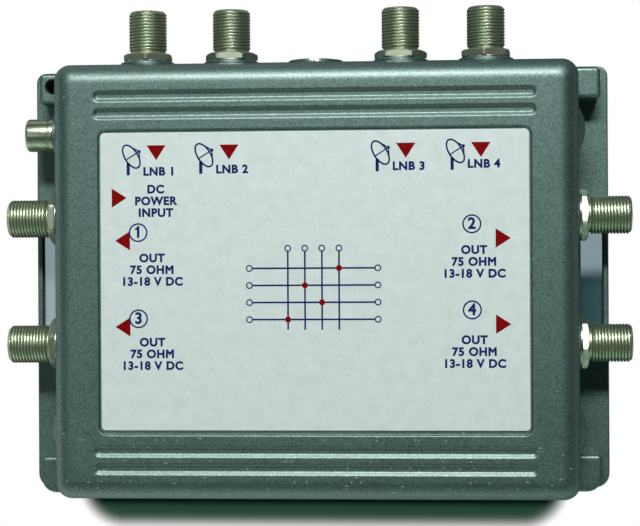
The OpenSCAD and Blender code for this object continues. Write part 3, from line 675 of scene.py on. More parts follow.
def soft_slab(half_w, half_h, radii, low, high, edge, middle=(0, 0), round_low=True):
    """Rounded rectangle of a thickness whose edges are quarter rounds of the given radius."""
    radii = np.broadcast_to(radii, 4)
    a = np.radians(np.linspace(0, 90, 5))
    steps = zip(edge * (1 - np.cos(a)), edge * (1 - np.sin(a)))
    top = [(half_w - inset, half_h - inset, radii - inset, high - drop) for inset, drop in steps]
    top.append((half_w - 1.5 * edge, half_h - 1.5 * edge, radii - edge, high))
    if round_low:
        bottom = [(w, h, r, low + high - z) for w, h, r, z in reversed(top)]
    else:
        bottom = [(half_w, half_h, radii, low)]
    return stacked(bottom + top, middle)


def swept(path, width, low, high, closed=False):
    """Flat line: a width by thickness rectangle carried along a path in the XY plane, square to its run."""
    path = np.asarray(path, float)
    run = np.roll(path, -1, 0) - np.roll(path, 1, 0) if closed else np.gradient(path, axis=0)
    run /= np.linalg.norm(run, axis=1, keepdims=True)
    side = np.column_stack([-run[:, 1], run[:, 0]]) * width / 2
    section = ((1, low), (-1, low), (-1, high), (1, high))
    grid = np.stack([levelled(path + s * side, z) for s, z in section], axis=1)
    return grid_solid(grid if closed else capped(grid), closed)


def prism(outline, low, high):
    """Flat shape with an outline that its middle sees all round, between two heights."""
    outline = np.asarray(outline, float)
    return grid_solid(capped(np.stack([levelled(outline, z) for z in (low, high)])))


def axes(origin, across, outward):
    """Placing matrix: local x runs along across and local z along outward."""
    matrix = np.eye(4)
    matrix[:3, 0] = across
    matrix[:3, 1] = np.cross(outward, across)
    matrix[:3, 2] = outward
    matrix[:3, 3] = origin
    return matrix


def upright(x, y):
    """Placing matrix of a solid that stands on the wall plane."""
    return axes((x, y, 0), (1, 0, 0), (0, 0, 1))


def reach_along(name, place):
    """How far a CAD node reaches inwards and outwards along a placing matrix's local z."""
    return sorted((corner - place[:3, 3]) @ place[:3, 2] for corner in node_box(name))


def placed(solid, matrix):
    """A solid's points moved by a placing matrix."""
    points, faces = solid
    return points @ matrix[:3, :3].T + matrix[:3, 3], faces


def mesh_of(name, solids, weld=1e-7):
    """One mesh of several solids: doubles merged, then faces turned outwards."""
    offsets = np.cumsum([0] + [len(points) for points, _ in solids])
    points = np.concatenate([points for points, _ in solids])
    faces = [row for (_, rows), start in zip(solids, offsets) for row in (np.asarray(rows) + start).tolist()]
    mesh = bpy.data.meshes.new(name)
    mesh.from_pydata(points, [], faces)
    shape = bmesh.new()
    shape.from_mesh(mesh)
    bmesh.ops.remove_doubles(shape, verts=shape.verts, dist=weld)
    bmesh.ops.dissolve_degenerate(shape, edges=shape.edges, dist=weld)
    bmesh.ops.recalc_face_normals(shape, faces=shape.faces)
    shape.to_mesh(mesh)
    shape.free()
    return mesh


def link_piece(name, mesh, material, slot, replaces=(), body="casing"):
    """Links a finished mesh as a piece that rides on a body and stands for CAD nodes."""
    mesh.materials.clear()
    mesh.materials.append(material)
    mesh.shade_smooth()
    mesh.set_sharp_from_angle(angle=CREASE)
    piece = bpy.data.objects.new(name, mesh)
    bpy.context.scene.collection.objects.link(piece)
    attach(piece, body)
    if replaces:
        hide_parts(*replaces)
    return piece


def add_piece(name, solids, *finish):
    """Links one mesh of several solids as a piece."""
    return link_piece(name, mesh_of(name, solids), *finish)


def dress(nodes, material):
    """Gives CAD nodes that stay in sight a material."""
    for name in nodes:
        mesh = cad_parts[name].data
        mesh.materials.clear()
        mesh.materials.append(material)


def combined(mesh, steps):
    """The mesh after boolean steps in order: each is an operation and its solids."""
    scene = bpy.context.scene
    body = bpy.data.objects.new("casting_work", mesh)
    scene.collection.objects.link(body)
    helpers, folders = [], []
    for k, (operation, solids) in enumerate(steps):
        folder = bpy.data.collections.new(f"casting_step_{k}")
        scene.collection.children.link(folder)
        folders.append(folder)
        for solid in solids:
            helper = bpy.data.objects.new("casting_helper", mesh_of("casting_helper", [solid]))
            folder.objects.link(helper)
            helpers.append(helper)
        step = body.modifiers.new(operation.lower(), "BOOLEAN")
        step.operation = operation
        step.operand_type = "COLLECTION"
        step.collection = folder
        step.solver = "MANIFOLD"
    result = bpy.data.meshes.new_from_object(body.evaluated_get(bpy.context.evaluated_depsgraph_get()))
    for item in [body, *helpers]:
        used = item.data
        bpy.data.objects.remove(item)
        bpy.data.meshes.remove(used)
    for folder in folders:
        bpy.data.collections.remove(folder)
    return result


def groove_drop(t, depth, width):
    """Drop of a groove's wall over its width: straight, with a parabola over a share f of it at each end.

    With h(s) = clip(s, 0, f)^2 / (2 f) + max(s - f, 0) and s = t / width, the drop is
    depth (h(s) - h(s - 1 + f)) / (1 - f)."""
    f = 0.2
    s = t / width
    lip, end = (np.clip(v, 0, f) ** 2 / (2 * f) + np.maximum(v - f, 0) for v in (s, s - 1 + f))
    return depth * (lip - end) / (1 - f)


def recess_drop(t, depth, radius):
    """Drop of a recess: a round of the given radius at its lip, then a steep wall to a sharp floor.

    The round radius - sqrt(radius^2 - t^2) ends at a share of its radius, and the wall keeps its slope."""
    share = 0.9
    lip = radius - np.sqrt(np.maximum(radius**2 - np.clip(t, 0, share * radius) ** 2, 0))
    slope = share / math.sqrt(1 - share**2)
    return np.minimum(lip + slope * np.maximum(t - share * radius, 0), depth)


def slab_distance(x, y, half_w, half_h, radius):
    """Signed distance to a rounded rectangle, negative inside."""
    qx = np.abs(x) - half_w + radius
    qy = np.abs(y) - half_h + radius
    return np.hypot(np.maximum(qx, 0), np.maximum(qy, 0)) + np.minimum(np.maximum(qx, qy), 0) - radius


def grid_lines(half, clusters):
    """Lines from -half to half: fine steps across each (low, high) cluster and its mirror, else coarse."""
    lines = [np.linspace(-half, half, 2 * int(half / FACE_COARSE) + 1)]
    for low, high in clusters:
        run = np.arange(low, high, FACE_FINE)
        lines += [run, -run]
        lines[0] = lines[0][(np.abs(lines[0]) < low - FACE_FINE) | (np.abs(lines[0]) > high + FACE_FINE)]
    return np.unique(np.concatenate(lines).round(7))


def front_height(x, y, sizes):
    """Height of the front face: depth less the drops of the four grooves and the label recess."""
    z = np.full(np.broadcast(x, y).shape, sizes.body_d)
    outer = sizes.body_h / 2 - sizes.groove_inset
    for groove_y in (outer, outer - sizes.groove_pitch):
        across = np.abs(y) - groove_y - np.where(y < 0, sizes.low_shift, 0)
        edge = slab_distance(x, across, sizes.groove_l / 2, sizes.groove_w / 2, sizes.groove_w / 2)
        z = z - groove_drop(-edge, sizes.groove_depth, sizes.groove_wall)
    half_w = (LABEL_HIGH[0] - LABEL_LOW[0]) / 2 + sizes.recess_gap
    half_h = (LABEL_HIGH[1] - LABEL_LOW[1] + sizes.low_shift) / 2 + sizes.recess_gap
    edge = slab_distance(x, y + sizes.low_shift / 2, half_w, half_h, sizes.recess_r)
    return z - recess_drop(-edge, sizes.recess_depth, sizes.soft_edge)


def casting_block(sizes):
    """Solid casting: rounded rectangles up its drafted walls and round its rim, closed by the front's grid.

    The rim's inset at an angle a is flat - rim_r cos a and its height rim_z + rim_r sin a. The corner radius
    shrinks evenly with the inset."""
    half_w = sizes.reach - sizes.flange_w
    half_h = sizes.body_h / 2
    lean = math.tan(sizes.draft)
    rim_z = sizes.body_d - sizes.rim_r
    flat = (sizes.rim_r + rim_z * math.sin(sizes.draft)) / math.cos(sizes.draft)
    chamfer = 0.3 * MM
    insets = [(chamfer, 0.0), (0.0, chamfer)]
    insets += [(z * lean, z) for z in np.linspace(1 * MM, rim_z - 0.2 * MM, 9)]
    bends = np.radians(np.linspace(math.degrees(sizes.draft), 90, 15))
    insets += [(flat - sizes.rim_r * math.cos(a), rim_z + sizes.rim_r * math.sin(a)) for a in bends]
    inner = (half_w - sizes.face_inset, half_h - sizes.face_inset)
    shrink = (sizes.corner_r - sizes.face_inset + flat) / flat
    groove_end = sizes.groove_l / 2
    outer_groove = half_h - sizes.groove_inset
    # The fine lines reach a little past the ends of the grooves, each pair of grooves and the recess edges.
    across = [(groove_end - 3.4 * MM, groove_end + 0.7 * MM)]
    up = [
        (outer_groove - sizes.groove_pitch - 2.2 * MM, outer_groove + 2.3 * MM),
        (LABEL_HIGH[1] - sizes.recess_r - 0.6 * MM, LABEL_HIGH[1] + sizes.recess_gap + 0.9 * MM),
    ]
    x_lines = grid_lines(inner[0], across)
    y_lines = grid_lines(inner[1], up)
    shares = {"x_share": x_lines[1:-1] / inner[0], "y_share": y_lines[1:-1] / inner[1], "steps": 10}
    loops = [ring(half_w - d, half_h - d, sizes.corner_r - shrink * d, **shares) for d, _ in insets]
    loops.append(ring(*inner, 0, **shares))
    heights = [z for _, z in insets] + [sizes.body_d]
    grid = np.stack([levelled(loop, z) for loop, z in zip(loops, heights)])
    wall = grid_solid(np.concatenate([np.zeros_like(grid[:1]), grid]))
    x, y = np.meshgrid(x_lines, y_lines)
    face = np.stack([x, y, front_height(x, y, sizes)], axis=2)
    face[[0, -1], :, 2] = sizes.body_d
    face[:, [0, -1], 2] = sizes.body_d
    return mesh_of("casting", [wall, grid_solid(face, close_columns=False)], weld=2e-6)


def port_places(sizes):
    """Name, hex turn and placing matrix of each port: axis from its bead, boss face from its shell's tip."""
    stand = sizes.washer_t + sizes.hex_t + sizes.thread_l
    places = []
    for turns, across, outward in PORT_ROWS:
        out = np.array(outward, float)
        for name, turn in turns.items():
            low, high = node_box(name + "_shell")
            tip = np.where(out > 0, high, low) * np.abs(out)
            origin = node_centre(name + "_insulator") * (1 - np.abs(out)) + tip - out * stand
            places.append((name, turn, axes(origin, across, outward)))
    return places


def jack_place():
    """Placing matrix of the power jack: its seat is the nut's side of its collar."""
    sizes = bpy.context.scene.multiswitch_ports
    centre = node_centre("power_jack_insulator")
    tip = node_box("power_jack_shell")[0][0]
    barrel_l = 5.9 * MM
    seat = tip + sizes.jack_base_l + barrel_l
    return axes((seat, centre[1], centre[2]), (0, 0, 1), (-1, 0, 0))


def ground_place():
    """Placing matrix of the ground terminal: local z runs out of the floor of its recess."""
    low, _ = node_box("ground_washer")
    fit = bpy.context.scene.multiswitch_ports.fit
    centre = node_centre("ground_washer")
    return axes((centre[0], low[1] - fit, centre[2]), (1, 0, 0), (0, 1, 0))


def boss(diameter, depth, edge):
    """Round boss with a softened face at z = 0, rooted that deep in the wall."""
    r = diameter / 2
    return turned(filleted([(0, -depth, 0), (r, -depth, 0), (r, 0, edge), (0, 0, 0)]), 96)


def pin(radius, low, high, columns=48):
    """Plain round bar, used for holes and posts."""
    return turned([(0, low), (radius, low), (radius, high), (0, high)], columns)


def box_solid(low, high):
    """Box between two corners."""
    low, high = np.array(low), np.array(high)
    middle = (low + high) / 2
    half = (high - low) / 2
    outline = [(middle[0] + sx * half[0], middle[1] + sy * half[1]) for sx, sy in CORNERS]
    return prism(outline, low[2], high[2])


def casting_features(sizes):
    """Flanges, pads and bulges that stand out of the casting."""
    half_w = sizes.reach - sizes.flange_w
    root = half_w - sizes.wall
    flange_end = sizes.body_h / 2 - sizes.flange_short
    pad_out = sizes.reach - sizes.pad_margin
    edge, pad_low, pad_edge = sizes.soft_edge, 0.5 * MM, 0.9 * MM
    flange_shape = (0.0, sizes.flange_t, edge)
    pad_shape = (pad_low, sizes.flange_t + sizes.pad_rise, pad_edge)
    cap = sizes.bulge_out + sizes.bulge_h * math.tan(sizes.draft) + 0.3 * MM
    column = turned(filleted([
        (0, 0, 0), (sizes.bulge_r, 0, 0), (sizes.bulge_r, sizes.bulge_h - cap, 1.2 * MM),
        (sizes.bulge_r - cap, sizes.bulge_h, 0.5 * MM), (0, sizes.bulge_h, 0)]), 128)

    def side_slab(side, out, start, stop, radii, shape, round_low):
        """Slab from inside the wall to a distance out, between two heights of the side.

        The radii are those of the right side: upper outer, upper inner, lower inner, lower outer. The shape
        is the slab's low and high level and the radius of its edges."""
        radii = radii if side > 0 else [radii[k] for k in (1, 0, 3, 2)]
        middle = (side * (out + root) / 2, (start + stop) / 2)
        return soft_slab((out - root) / 2, (stop - start) / 2, radii, *shape, middle, round_low)

    solids = []
    for side in (-1, 1):
        foot = sizes.right_trim - flange_end if side > 0 else -flange_end
        radii = np.maximum((sizes.flange_top_r, edge, edge, sizes.flange_low_r), 2 * edge)
        solids.append(side_slab(side, sizes.reach, foot, flange_end, radii, flange_shape, True))
        start, stop = flange_end - sizes.pad_l, flange_end - sizes.pad_short
        solids.append(side_slab(side, pad_out, start, stop, [sizes.pad_r] * 4, pad_shape, False))
        radii = [sizes.pad_r] * 3 + [sizes.pad_low_r]
        solids.append(side_slab(side, pad_out, foot, foot + sizes.pad_low_l, radii, pad_shape, False))
        for end in (-1, 1):
            x = side * (half_w + sizes.bulge_out - sizes.bulge_r)
            y = end * (sizes.body_h / 2 - sizes.bulge_in)
            solids.append(placed(column, upright(x, y)))
    return solids


def casting_bosses(sizes, ports):
    """Bosses under the ports and the jack, and the ground terminal's ring."""
    deep, edge, jack_edge = sizes.wall + 1 * MM, 0.4 * MM, 0.3 * MM
    round_boss = boss(sizes.boss_d, deep, edge)
    jack_boss = boss(sizes.jack_seat_d, deep, jack_edge)
    x, _, z = node_centre("ground_washer")
    ring_place = axes((x, HOUSING_HIGH[1], z), (1, 0, 0), (0, 1, 0))
    solids = [placed(round_boss, place) for *_, place in port_places(ports)]
    return solids + [placed(jack_boss, jack_place()), placed(round_boss, ring_place)]


def casting_cuts(sizes, ports):
    """Windows, wall hole, port and jack holes, the flat over the jack's seat, the ground recess."""
    edge = sizes.soft_edge
    clear = 2 * MM
    start = sizes.reach - sizes.flange_w + sizes.window_in
    stop = sizes.reach - sizes.window_rail
    half = ((stop - start) / 2, sizes.window_l / 2)
    flare = [(edge * (1 - a), edge * b) for a, b in ((0, 0), (0.3, 0.05), (0.7, 0.3), (1, 1))]
    levels = [(edge, -clear), *flare]
    levels += [(d, sizes.flange_t - z) for d, z in reversed(flare)] + [(edge, sizes.flange_t + clear)]
    window = [(half[0] + d, half[1] + d, sizes.window_r + d, z) for d, z in levels]
    cuts = [stacked(window, (side * (start + stop) / 2, 0)) for side in (-1, 1)]
    pad_top = sizes.flange_t + sizes.pad_rise
    hole, sink = sizes.wall_hole_d / 2, sizes.wall_sink_d / 2
    profile = [(0, -clear), (hole, -clear), (hole, pad_top - sink + hole), (sink, pad_top)]
    profile += [(sink, pad_top + clear), (0, pad_top + clear)]
    cuts.append(placed(turned(profile), upright(-sizes.wall_hole_x, sizes.wall_hole_y)))
    deep = 9 * MM
    port_hole = pin(ports.spigot_d / 2 + ports.fit, -deep, clear)
    cuts += [placed(port_hole, place) for *_, place in port_places(ports)]
    neck_r, neck_deep, margin, flat_h = 3.55 * MM, 8 * MM, 0.5 * MM, 3 * MM
    jack_hole = pin(neck_r, -neck_deep, margin)
    jack_flat = pin(sizes.jack_seat_d / 2 + margin, 0.0, flat_h, 96)
    cuts += [placed(cut, jack_place()) for cut in (jack_hole, jack_flat)]
    notch, notch_l, recess_h = sizes.wire_notch_w / 2, 8 * MM, 6 * MM
    recess = pin(sizes.ground_recess_d / 2, 0.0, recess_h, 96)
    thread_hole = pin(ports.ground_thread_d / 2 + ports.fit, -deep, 1 * MM)
    notches = box_solid((-notch, -notch_l, 0.0), (notch, notch_l, recess_h))
    return cuts + [placed(cut, ground_place()) for cut in (recess, thread_hole, notches)]


def casting_hollow(sizes):
    """Space inside the casting with the step that takes the rear cover."""
    lean = sizes.body_d * math.tan(sizes.draft)
    hw = sizes.reach - sizes.flange_w - lean - sizes.wall
    hh = sizes.body_h / 2 - lean - sizes.wall
    r = sizes.hollow_r
    step = sizes.ledge
    top = sizes.body_d - sizes.front_wall
    return stacked([
        (hw + step, hh + step, r + step, -1 * MM), (hw + step, hh + step, r + step, sizes.rebate_depth),
        (hw, hh, r, sizes.rebate_depth), (hw, hh, r, top)])


def casting_posts(sizes):
    """Posts for the cover's screws, and the block behind the ground terminal, which takes the upper one."""
    top = sizes.body_d - sizes.front_wall + 1 * MM
    post = pin(sizes.post_d / 2, sizes.rebate_depth, top)
    solids = [placed(post, upright(x, y)) for x, y in screw_spots() if abs(x) > 0 or y < 0]
    low, _ = node_box("ground_screw")
    half, behind, overlap = 6.5 * MM, 2 * MM, 1 * MM
    inner = sizes.body_h / 2 - sizes.body_d * math.tan(sizes.draft) - sizes.wall
    solids.append(box_solid((-half, low[1] - behind, sizes.rebate_depth), (half, inner + overlap, top)))
    return solids


def screw_spots():
    """Places of the six cover screws, from the box of their node."""
    _, high = node_box("cover_screws")
    x, y = high[0] - COVER_HEAD_R, high[1] - COVER_HEAD_R
    return [(x, y), (x, -y), (-x, y), (-x, -y), (0, y), (0, -y)]


def hex_radius(a, across_flats, turn, sharpness=44):
    """Polar radius of a hexagon with soft corners: across_flats / 2 over a power mean of its facing flats."""
    flats = np.radians(turn + 30 + 60 * np.arange(6))
    facing = np.clip(np.cos(a[:, None] - flats), 0, None)
    return across_flats / 2 / (facing**sharpness).sum(1) ** (1 / sharpness)


def thread_wave(a, z, pitch):
    """Depth of a helical thread from 0 on its crest to 1 in its sharp root: a wave of z / pitch - a / turn
    whose flat crest takes a share of each half pitch and whose flanks fall with the power 1.3."""
    phase = z / pitch - a / (2 * np.pi)
    crest = 0.38
    rise = np.clip((np.abs(2 * (phase - np.floor(phase)) - 1) - crest) / (1 - crest), 0, 1)
    return rise**1.3


def port_shell(sizes, inner_end, turn, columns=96):
    """Threaded shell as one closed grid of circles: bore, lip, helical thread, chamfered hex and spigot."""
    a = np.radians(turn) + around(columns)
    hex_low, hex_high = sizes.washer_t, sizes.washer_t + sizes.hex_t
    mouth = hex_high + sizes.thread_l
    bore, neck = 3.5 * MM, 2.5 * MM
    crest = sizes.thread_d / 2
    root = crest - sizes.thread_cut
    lip = crest - sizes.mouth_chamfer
    edge = 0.12 * MM
    relief = 0.55 * MM
    rows = [
        (neck, inner_end),
        (neck, hex_low),
        (bore, hex_low),
        (bore, mouth - 0.25 * MM),
        (bore + 0.08 * MM, mouth - 0.07 * MM),
        (bore + 0.22 * MM, mouth),
        (lip - 0.1 * MM, mouth),
    ]
    for z in np.linspace(mouth, hex_high + edge, int(sizes.thread_l / sizes.thread_pitch * 14)):
        r = crest - sizes.thread_cut * thread_wave(a, z, sizes.thread_pitch)
        r = np.minimum(r, lip + (mouth - z) * 0.9)
        rows.append((np.minimum(r, root + max(0.0, z - hex_high - relief)), z))
    rim = hex_radius(a, sizes.hex_af, turn)
    flat = sizes.hex_af / 2 - 0.15 * MM
    chamfer = math.radians(28)
    drop = (rim - flat) * math.tan(chamfer)
    rows += [
        (root, hex_high),
        (flat, hex_high),
        (rim - edge, hex_high - drop + edge * 0.5),
        (rim, hex_high - drop - edge),
        (rim, hex_low + edge),
        (rim - edge, hex_low),
        (sizes.spigot_d / 2, hex_low),
        (sizes.spigot_d / 2, inner_end),
    ]
    r, z = (np.stack([np.broadcast_to(v, columns) for v in values]) for values in zip(*rows))
    return grid_solid(circles(r, z, a), True)


def port_bead(sizes, low, high):
    """Bead of a port between two depths: a neck, a wider head and a funnel into the contact's hole."""
    hole, neck, head, funnel = 0.6 * MM, 2.45 * MM, 3.45 * MM, 0.5 * MM
    profile = filleted([
        (hole, low, 0), (neck, low, 0.1 * MM), (neck, sizes.washer_t, 0), (head, sizes.washer_t, 0),
        (head, high, 0.25 * MM), (hole + funnel, high, 0.1 * MM), (hole, high - funnel, 0)])
    return turned(profile, 64, True)


def washer(hole, outer, low, high, edge):
    """Flat ring between two heights with softened outer edges."""
    profile = filleted([(hole, low, 0), (outer, low, edge), (outer, high, edge), (hole, high, 0)])
    return turned(profile, 72, True)


def jack_barrel(sizes, low, high):
    """Smooth shell of the power jack between two depths: stepped bore, round tip, groove, collar and neck."""
    barrel, base = sizes.jack_d / 2, sizes.jack_base_l
    groove, collar = barrel - 0.12 * MM, barrel + 0.2 * MM
    bore, neck_bore, neck, step = 3.4 * MM, 2.25 * MM, 3.5 * MM, 0.8 * MM
    profile = filleted([
        (neck_bore, low, 0), (neck_bore, step, 0), (bore, step, 0), (bore, high, 0.2 * MM),
        (barrel, high, sizes.jack_tip), (barrel, base + 0.35 * MM, 0), (groove, base + 0.2 * MM, 0),
        (groove, base, 0), (collar, base, 0.12 * MM), (collar, 0, 0.08 * MM),
        (neck, 0, 0), (neck, low, 0)], 6)
    return turned(profile, 96, True)


def ground_shank(sizes, low, high):
    """Threaded shank between two heights, chamfered at its lower end and closed to a point at both."""
    a = around(64)
    z = np.linspace(low, high, 90)[:, None]
    crest, depth, chamfer = sizes.ground_thread_d / 2, 0.42 * MM, 0.7 * MM
    r = crest - depth * thread_wave(a, z, sizes.ground_pitch)
    r = np.minimum(r, crest - chamfer + (z - low))
    ends = ((1, 1), (0, 0))
    return grid_solid(circles(np.pad(r, ends), np.pad(z, ends, mode="edge"), a))


def slotted_head(radius, low, high, slot_w, slot_depth, edge):
    """Round head with a slot: stations across the slot reach sqrt(radius^2 - y^2) to each side."""
    bend = radius * np.sin(np.radians(np.linspace(-90, 90, 61)))
    outside = bend[bend < -slot_w / 2]
    inside = np.linspace(-slot_w / 2, slot_w / 2, 5)
    y = np.concatenate([outside, [-slot_w / 2], inside, [slot_w / 2], -outside[::-1]])
    deep = np.zeros(len(y), bool)
    deep[len(outside) + 1:len(outside) + 1 + len(inside)] = True
    reach = np.sqrt(np.maximum(radius**2 - y**2, 0))
    top = np.where(deep, high - slot_depth, high)
    e = np.where(deep, 0.0, np.minimum(edge, reach / 2))
    side = [(-reach, low), (-reach, top - e), (-reach + e * 0.3, top - e * 0.3), (-reach + e, top)]
    section = side + [(-x, z) for x, z in reversed(side)]
    grid = np.stack([np.column_stack([x, y, np.broadcast_to(z, y.shape)]) for x, z in section], axis=1)
    return grid_solid(grid)


def cross_head(radius, cone_l, shank_r, screw_l):
    """Countersunk screw: rings whose height drops inside a cross recess, then cone, shank and point."""
    a = around(96)
    edge = 0.1 * MM
    r = np.linspace(0, radius - edge, 26)[:, None]
    x, y = np.abs(r * np.cos(a)), np.abs(r * np.sin(a))
    half, arm, depth, slope = 0.42 * MM, 1.35 * MM, 1.1 * MM, 0.14 * MM
    inside = np.minimum(half - np.minimum(x, y), arm - np.maximum(x, y))
    fade = np.clip(inside / slope, 0, 1)
    z = -depth * fade * np.clip(1.25 - np.maximum(x, y) / arm, 0.25, 1)
    body = [(radius, -edge), (shank_r, -cone_l), (shank_r, -screw_l + shank_r / 2), (0, -screw_l)]
    rest = circles(*np.array(body).T[:, :, None], a)
    return grid_solid(np.concatenate([circles(r, z, a), rest]))


def lettering(words, height, bold, middle, low, high):
    """Plain capitals as a thin solid, grown by bold all round and centred on a point."""
    curve = bpy.data.curves.new("lettering", "FONT")
    curve.body = words
    cap_share = 0.70
    curve.size = height / cap_share
    curve.align_x = "CENTER"
    curve.align_y = "CENTER"
    curve.space_character = 1.12
    curve.bevel_depth = bold
    curve.bevel_resolution = 0
    curve.extrude = bold / 4
    holder = bpy.data.objects.new("lettering", curve)
    mesh = bpy.data.meshes.new_from_object(holder)
    points = np.empty(len(mesh.vertices) * 3)
    mesh.vertices.foreach_get("co", points)
    mesh.calc_loop_triangles()
    faces = np.empty(len(mesh.loop_triangles) * 3, int)
    mesh.loop_triangles.foreach_get("vertices", faces)
    bpy.data.objects.remove(holder)
    bpy.data.curves.remove(curve)
    bpy.data.meshes.remove(mesh)
    points = points.reshape(-1, 3)
    points[:, 2] *= (high - low) / np.ptp(points[:, 2])
    return points + np.array([*middle, (low + high) / 2]), faces.reshape(-1, 3)


def label_marks(sizes):
    """Blue and red marks: a dish sign, an arrow and a word for each dish port, an arrow, a ringed number and
    words for each receiver, a power mark, and a plain grid of crossing lines in the middle."""
    low = LABEL_HIGH[2] - 0.005 * MM
    high = LABEL_HIGH[2] + sizes.ink_t
    thick = 1.4 * sizes.line_w
    blue, red = [], []

    def arrow(x, y, heading):
        turn = math.radians(heading)
        half_l, half_w = sizes.arrow_l / 2, sizes.arrow_w / 2
        tip = np.array([(half_l, 0), (-half_l, half_w), (-half_l, -half_w)])
        spin = np.array([[math.cos(turn), math.sin(turn)], [-math.sin(turn), math.cos(turn)]])
        red.append(prism(tip @ spin + np.array([x, y]), low, high))

    def line(points, width=sizes.line_w, closed=False):
        # Lines that cross differ a little in height, so no two of their faces fall together.
        lift = (len(blue) % 5) * 0.003 * MM
        blue.append(swept(points, width, low, high + lift, closed))

    def words(text, x, y, height=sizes.letter_h):
        blue.append(lettering(text, height, sizes.bold, (x, y), low, high))

    def dish(x, y):
        lean = math.radians(-58)
        half_l, half_w, post_x = 3.2 * MM, 1.6 * MM, x - 0.8 * MM
        along = np.array([math.cos(lean), math.sin(lean)])
        across = np.array([-math.sin(lean), math.cos(lean)])
        a = np.radians(np.arange(0, 360, 9))[:, None]
        rim = (x, y) + half_l * np.cos(a) * along + half_w * np.sin(a) * across
        feed = (x, y) + 2.3 * MM * across
        line(rim, thick, True)
        for start in ((x, y) - 1.5 * MM * across, rim[5], rim[15]):
            line([start, feed])
        blue.append(prism(circle(feed, 0.42 * MM, 20), low, high))
        line([(post_x, y - 1.6 * MM), (post_x, y - 4.6 * MM)], 0.8 * MM)

    for k, x in enumerate((-38.8, -20.7, 22.8, 41.1)):
        arrow(x * MM, 31.8 * MM, -90)
        dish((x - 6.2) * MM, (30.9 + 0.2 * k) * MM)
        words(f"LNB {k + 1}", (x + 0.7) * MM, (27.1 + 0.4 * k) * MM)
    arrow(-48.1 * MM, 20.7 * MM, 0)
    row = 2.9
    for k, text in enumerate(("DC", "POWER", "INPUT")):
        words(text, -39.0 * MM, (22.7 - row * k) * MM)
    # Each side: its receivers as (number, arrow's height, first word's height), then across the places of its
    # arrow, its rings and its words, the rings' rise over the arrows and the arrows' heading.
    sides = [
        ([(1, 10.1, 5.7), (3, -11.2, -15.1)], (-47.3, -43.4, 3.4), 2.0, 180),
        ([(2, 10.2, 7.3), (4, -10.8, -14.7)], (46.4, 38.8, 0.5), 3.5, 0),
    ]
    for receivers, (arrow_x, ring_x, word_x), rise, heading in sides:
        for receiver, y, word_y in receivers:
            spot = np.array([ring_x, y + rise]) * MM
            arrow(arrow_x * MM, y * MM, heading)
            line(circle(spot, sizes.ring_r, 48), 1.25 * sizes.line_w, True)
            words(str(receiver), *spot, sizes.number_h)
            if receiver == 1:
                line([spot + (-0.75 * MM, 0.72 * MM), spot + (-0.05 * MM, 1.22 * MM)], thick)
            for k, text in enumerate(("OUT", "75 OHM", "13-18 V DC")):
                words(text, spot[0] + word_x * MM, (word_y - row * k) * MM)
    pitch, middle, end_r = 4.2 * MM, np.array([0.0, -3.2 * MM]), 0.7 * MM
    down, up, out = 2.1 * pitch, 2.5 * pitch, 3.6 * pitch
    runs = (np.arange(4) - 1.5) * pitch
    for k, run in enumerate(runs):
        line([middle + (run, -down), middle + (run, up)], thick)
        line([middle + (-out, run), middle + (out, run)], thick)
        crossing = middle + (run, runs[(2 * k) % 4 + k // 2])
        red.append(prism(circle(crossing, 0.75 * MM, 24), low, high + 0.02 * MM))
        for end in ((run, up + end_r), (-out - end_r, run), (out + end_r, run)):
            line(circle(middle + end, end_r, 24), sizes.line_w, True)
    return blue, red


class MULTISWITCH_OT_casting(bpy.types.Operator):
    """Builds the painted die-cast housing"""

    bl_idname = "multiswitch.casting"
    bl_label = "Casting"

    def execute(self, context):
        sizes = context.scene.multiswitch_casting
        ports = context.scene.multiswitch_ports
        steps = [
            ("UNION", casting_features(sizes) + casting_bosses(sizes, ports)),
            ("DIFFERENCE", [casting_hollow(sizes)]),
            ("UNION", casting_posts(sizes)),
            ("DIFFERENCE", casting_cuts(sizes, ports)),
        ]
        mesh = combined(casting_block(sizes), steps)
        casting = link_piece("casting", mesh, casting_paint(), "casting_paint", ["housing"])
        casting.modifiers.new("even_normals", "WEIGHTED_NORMAL").keep_sharp = True
        return {"FINISHED"}


class MULTISWITCH_OT_label(bpy.types.Operator):
    """Builds the label and the plain marks printed on it"""

    bl_idname = "multiswitch.label"
    bl_label = "Label"

    def execute(self, context):
        tones = context.scene.multiswitch_colours
        half = (LABEL_HIGH - LABEL_LOW) / 2
        corner_r, edge = 1 * MM, 0.06 * MM
        film = soft_slab(half[0], half[1], corner_r, LABEL_LOW[2], LABEL_HIGH[2], edge)
        add_piece("label_sheet", [film], label_film(), "label_film", ["label"])
        blue, red = label_marks(context.scene.multiswitch_print)
        add_piece("label_print_blue", blue, ink("ink_blue", tones.blue), "label_film")
        add_piece("label_print_red", red, ink("ink_red", tones.red), "label_film")
        return {"FINISHED"}


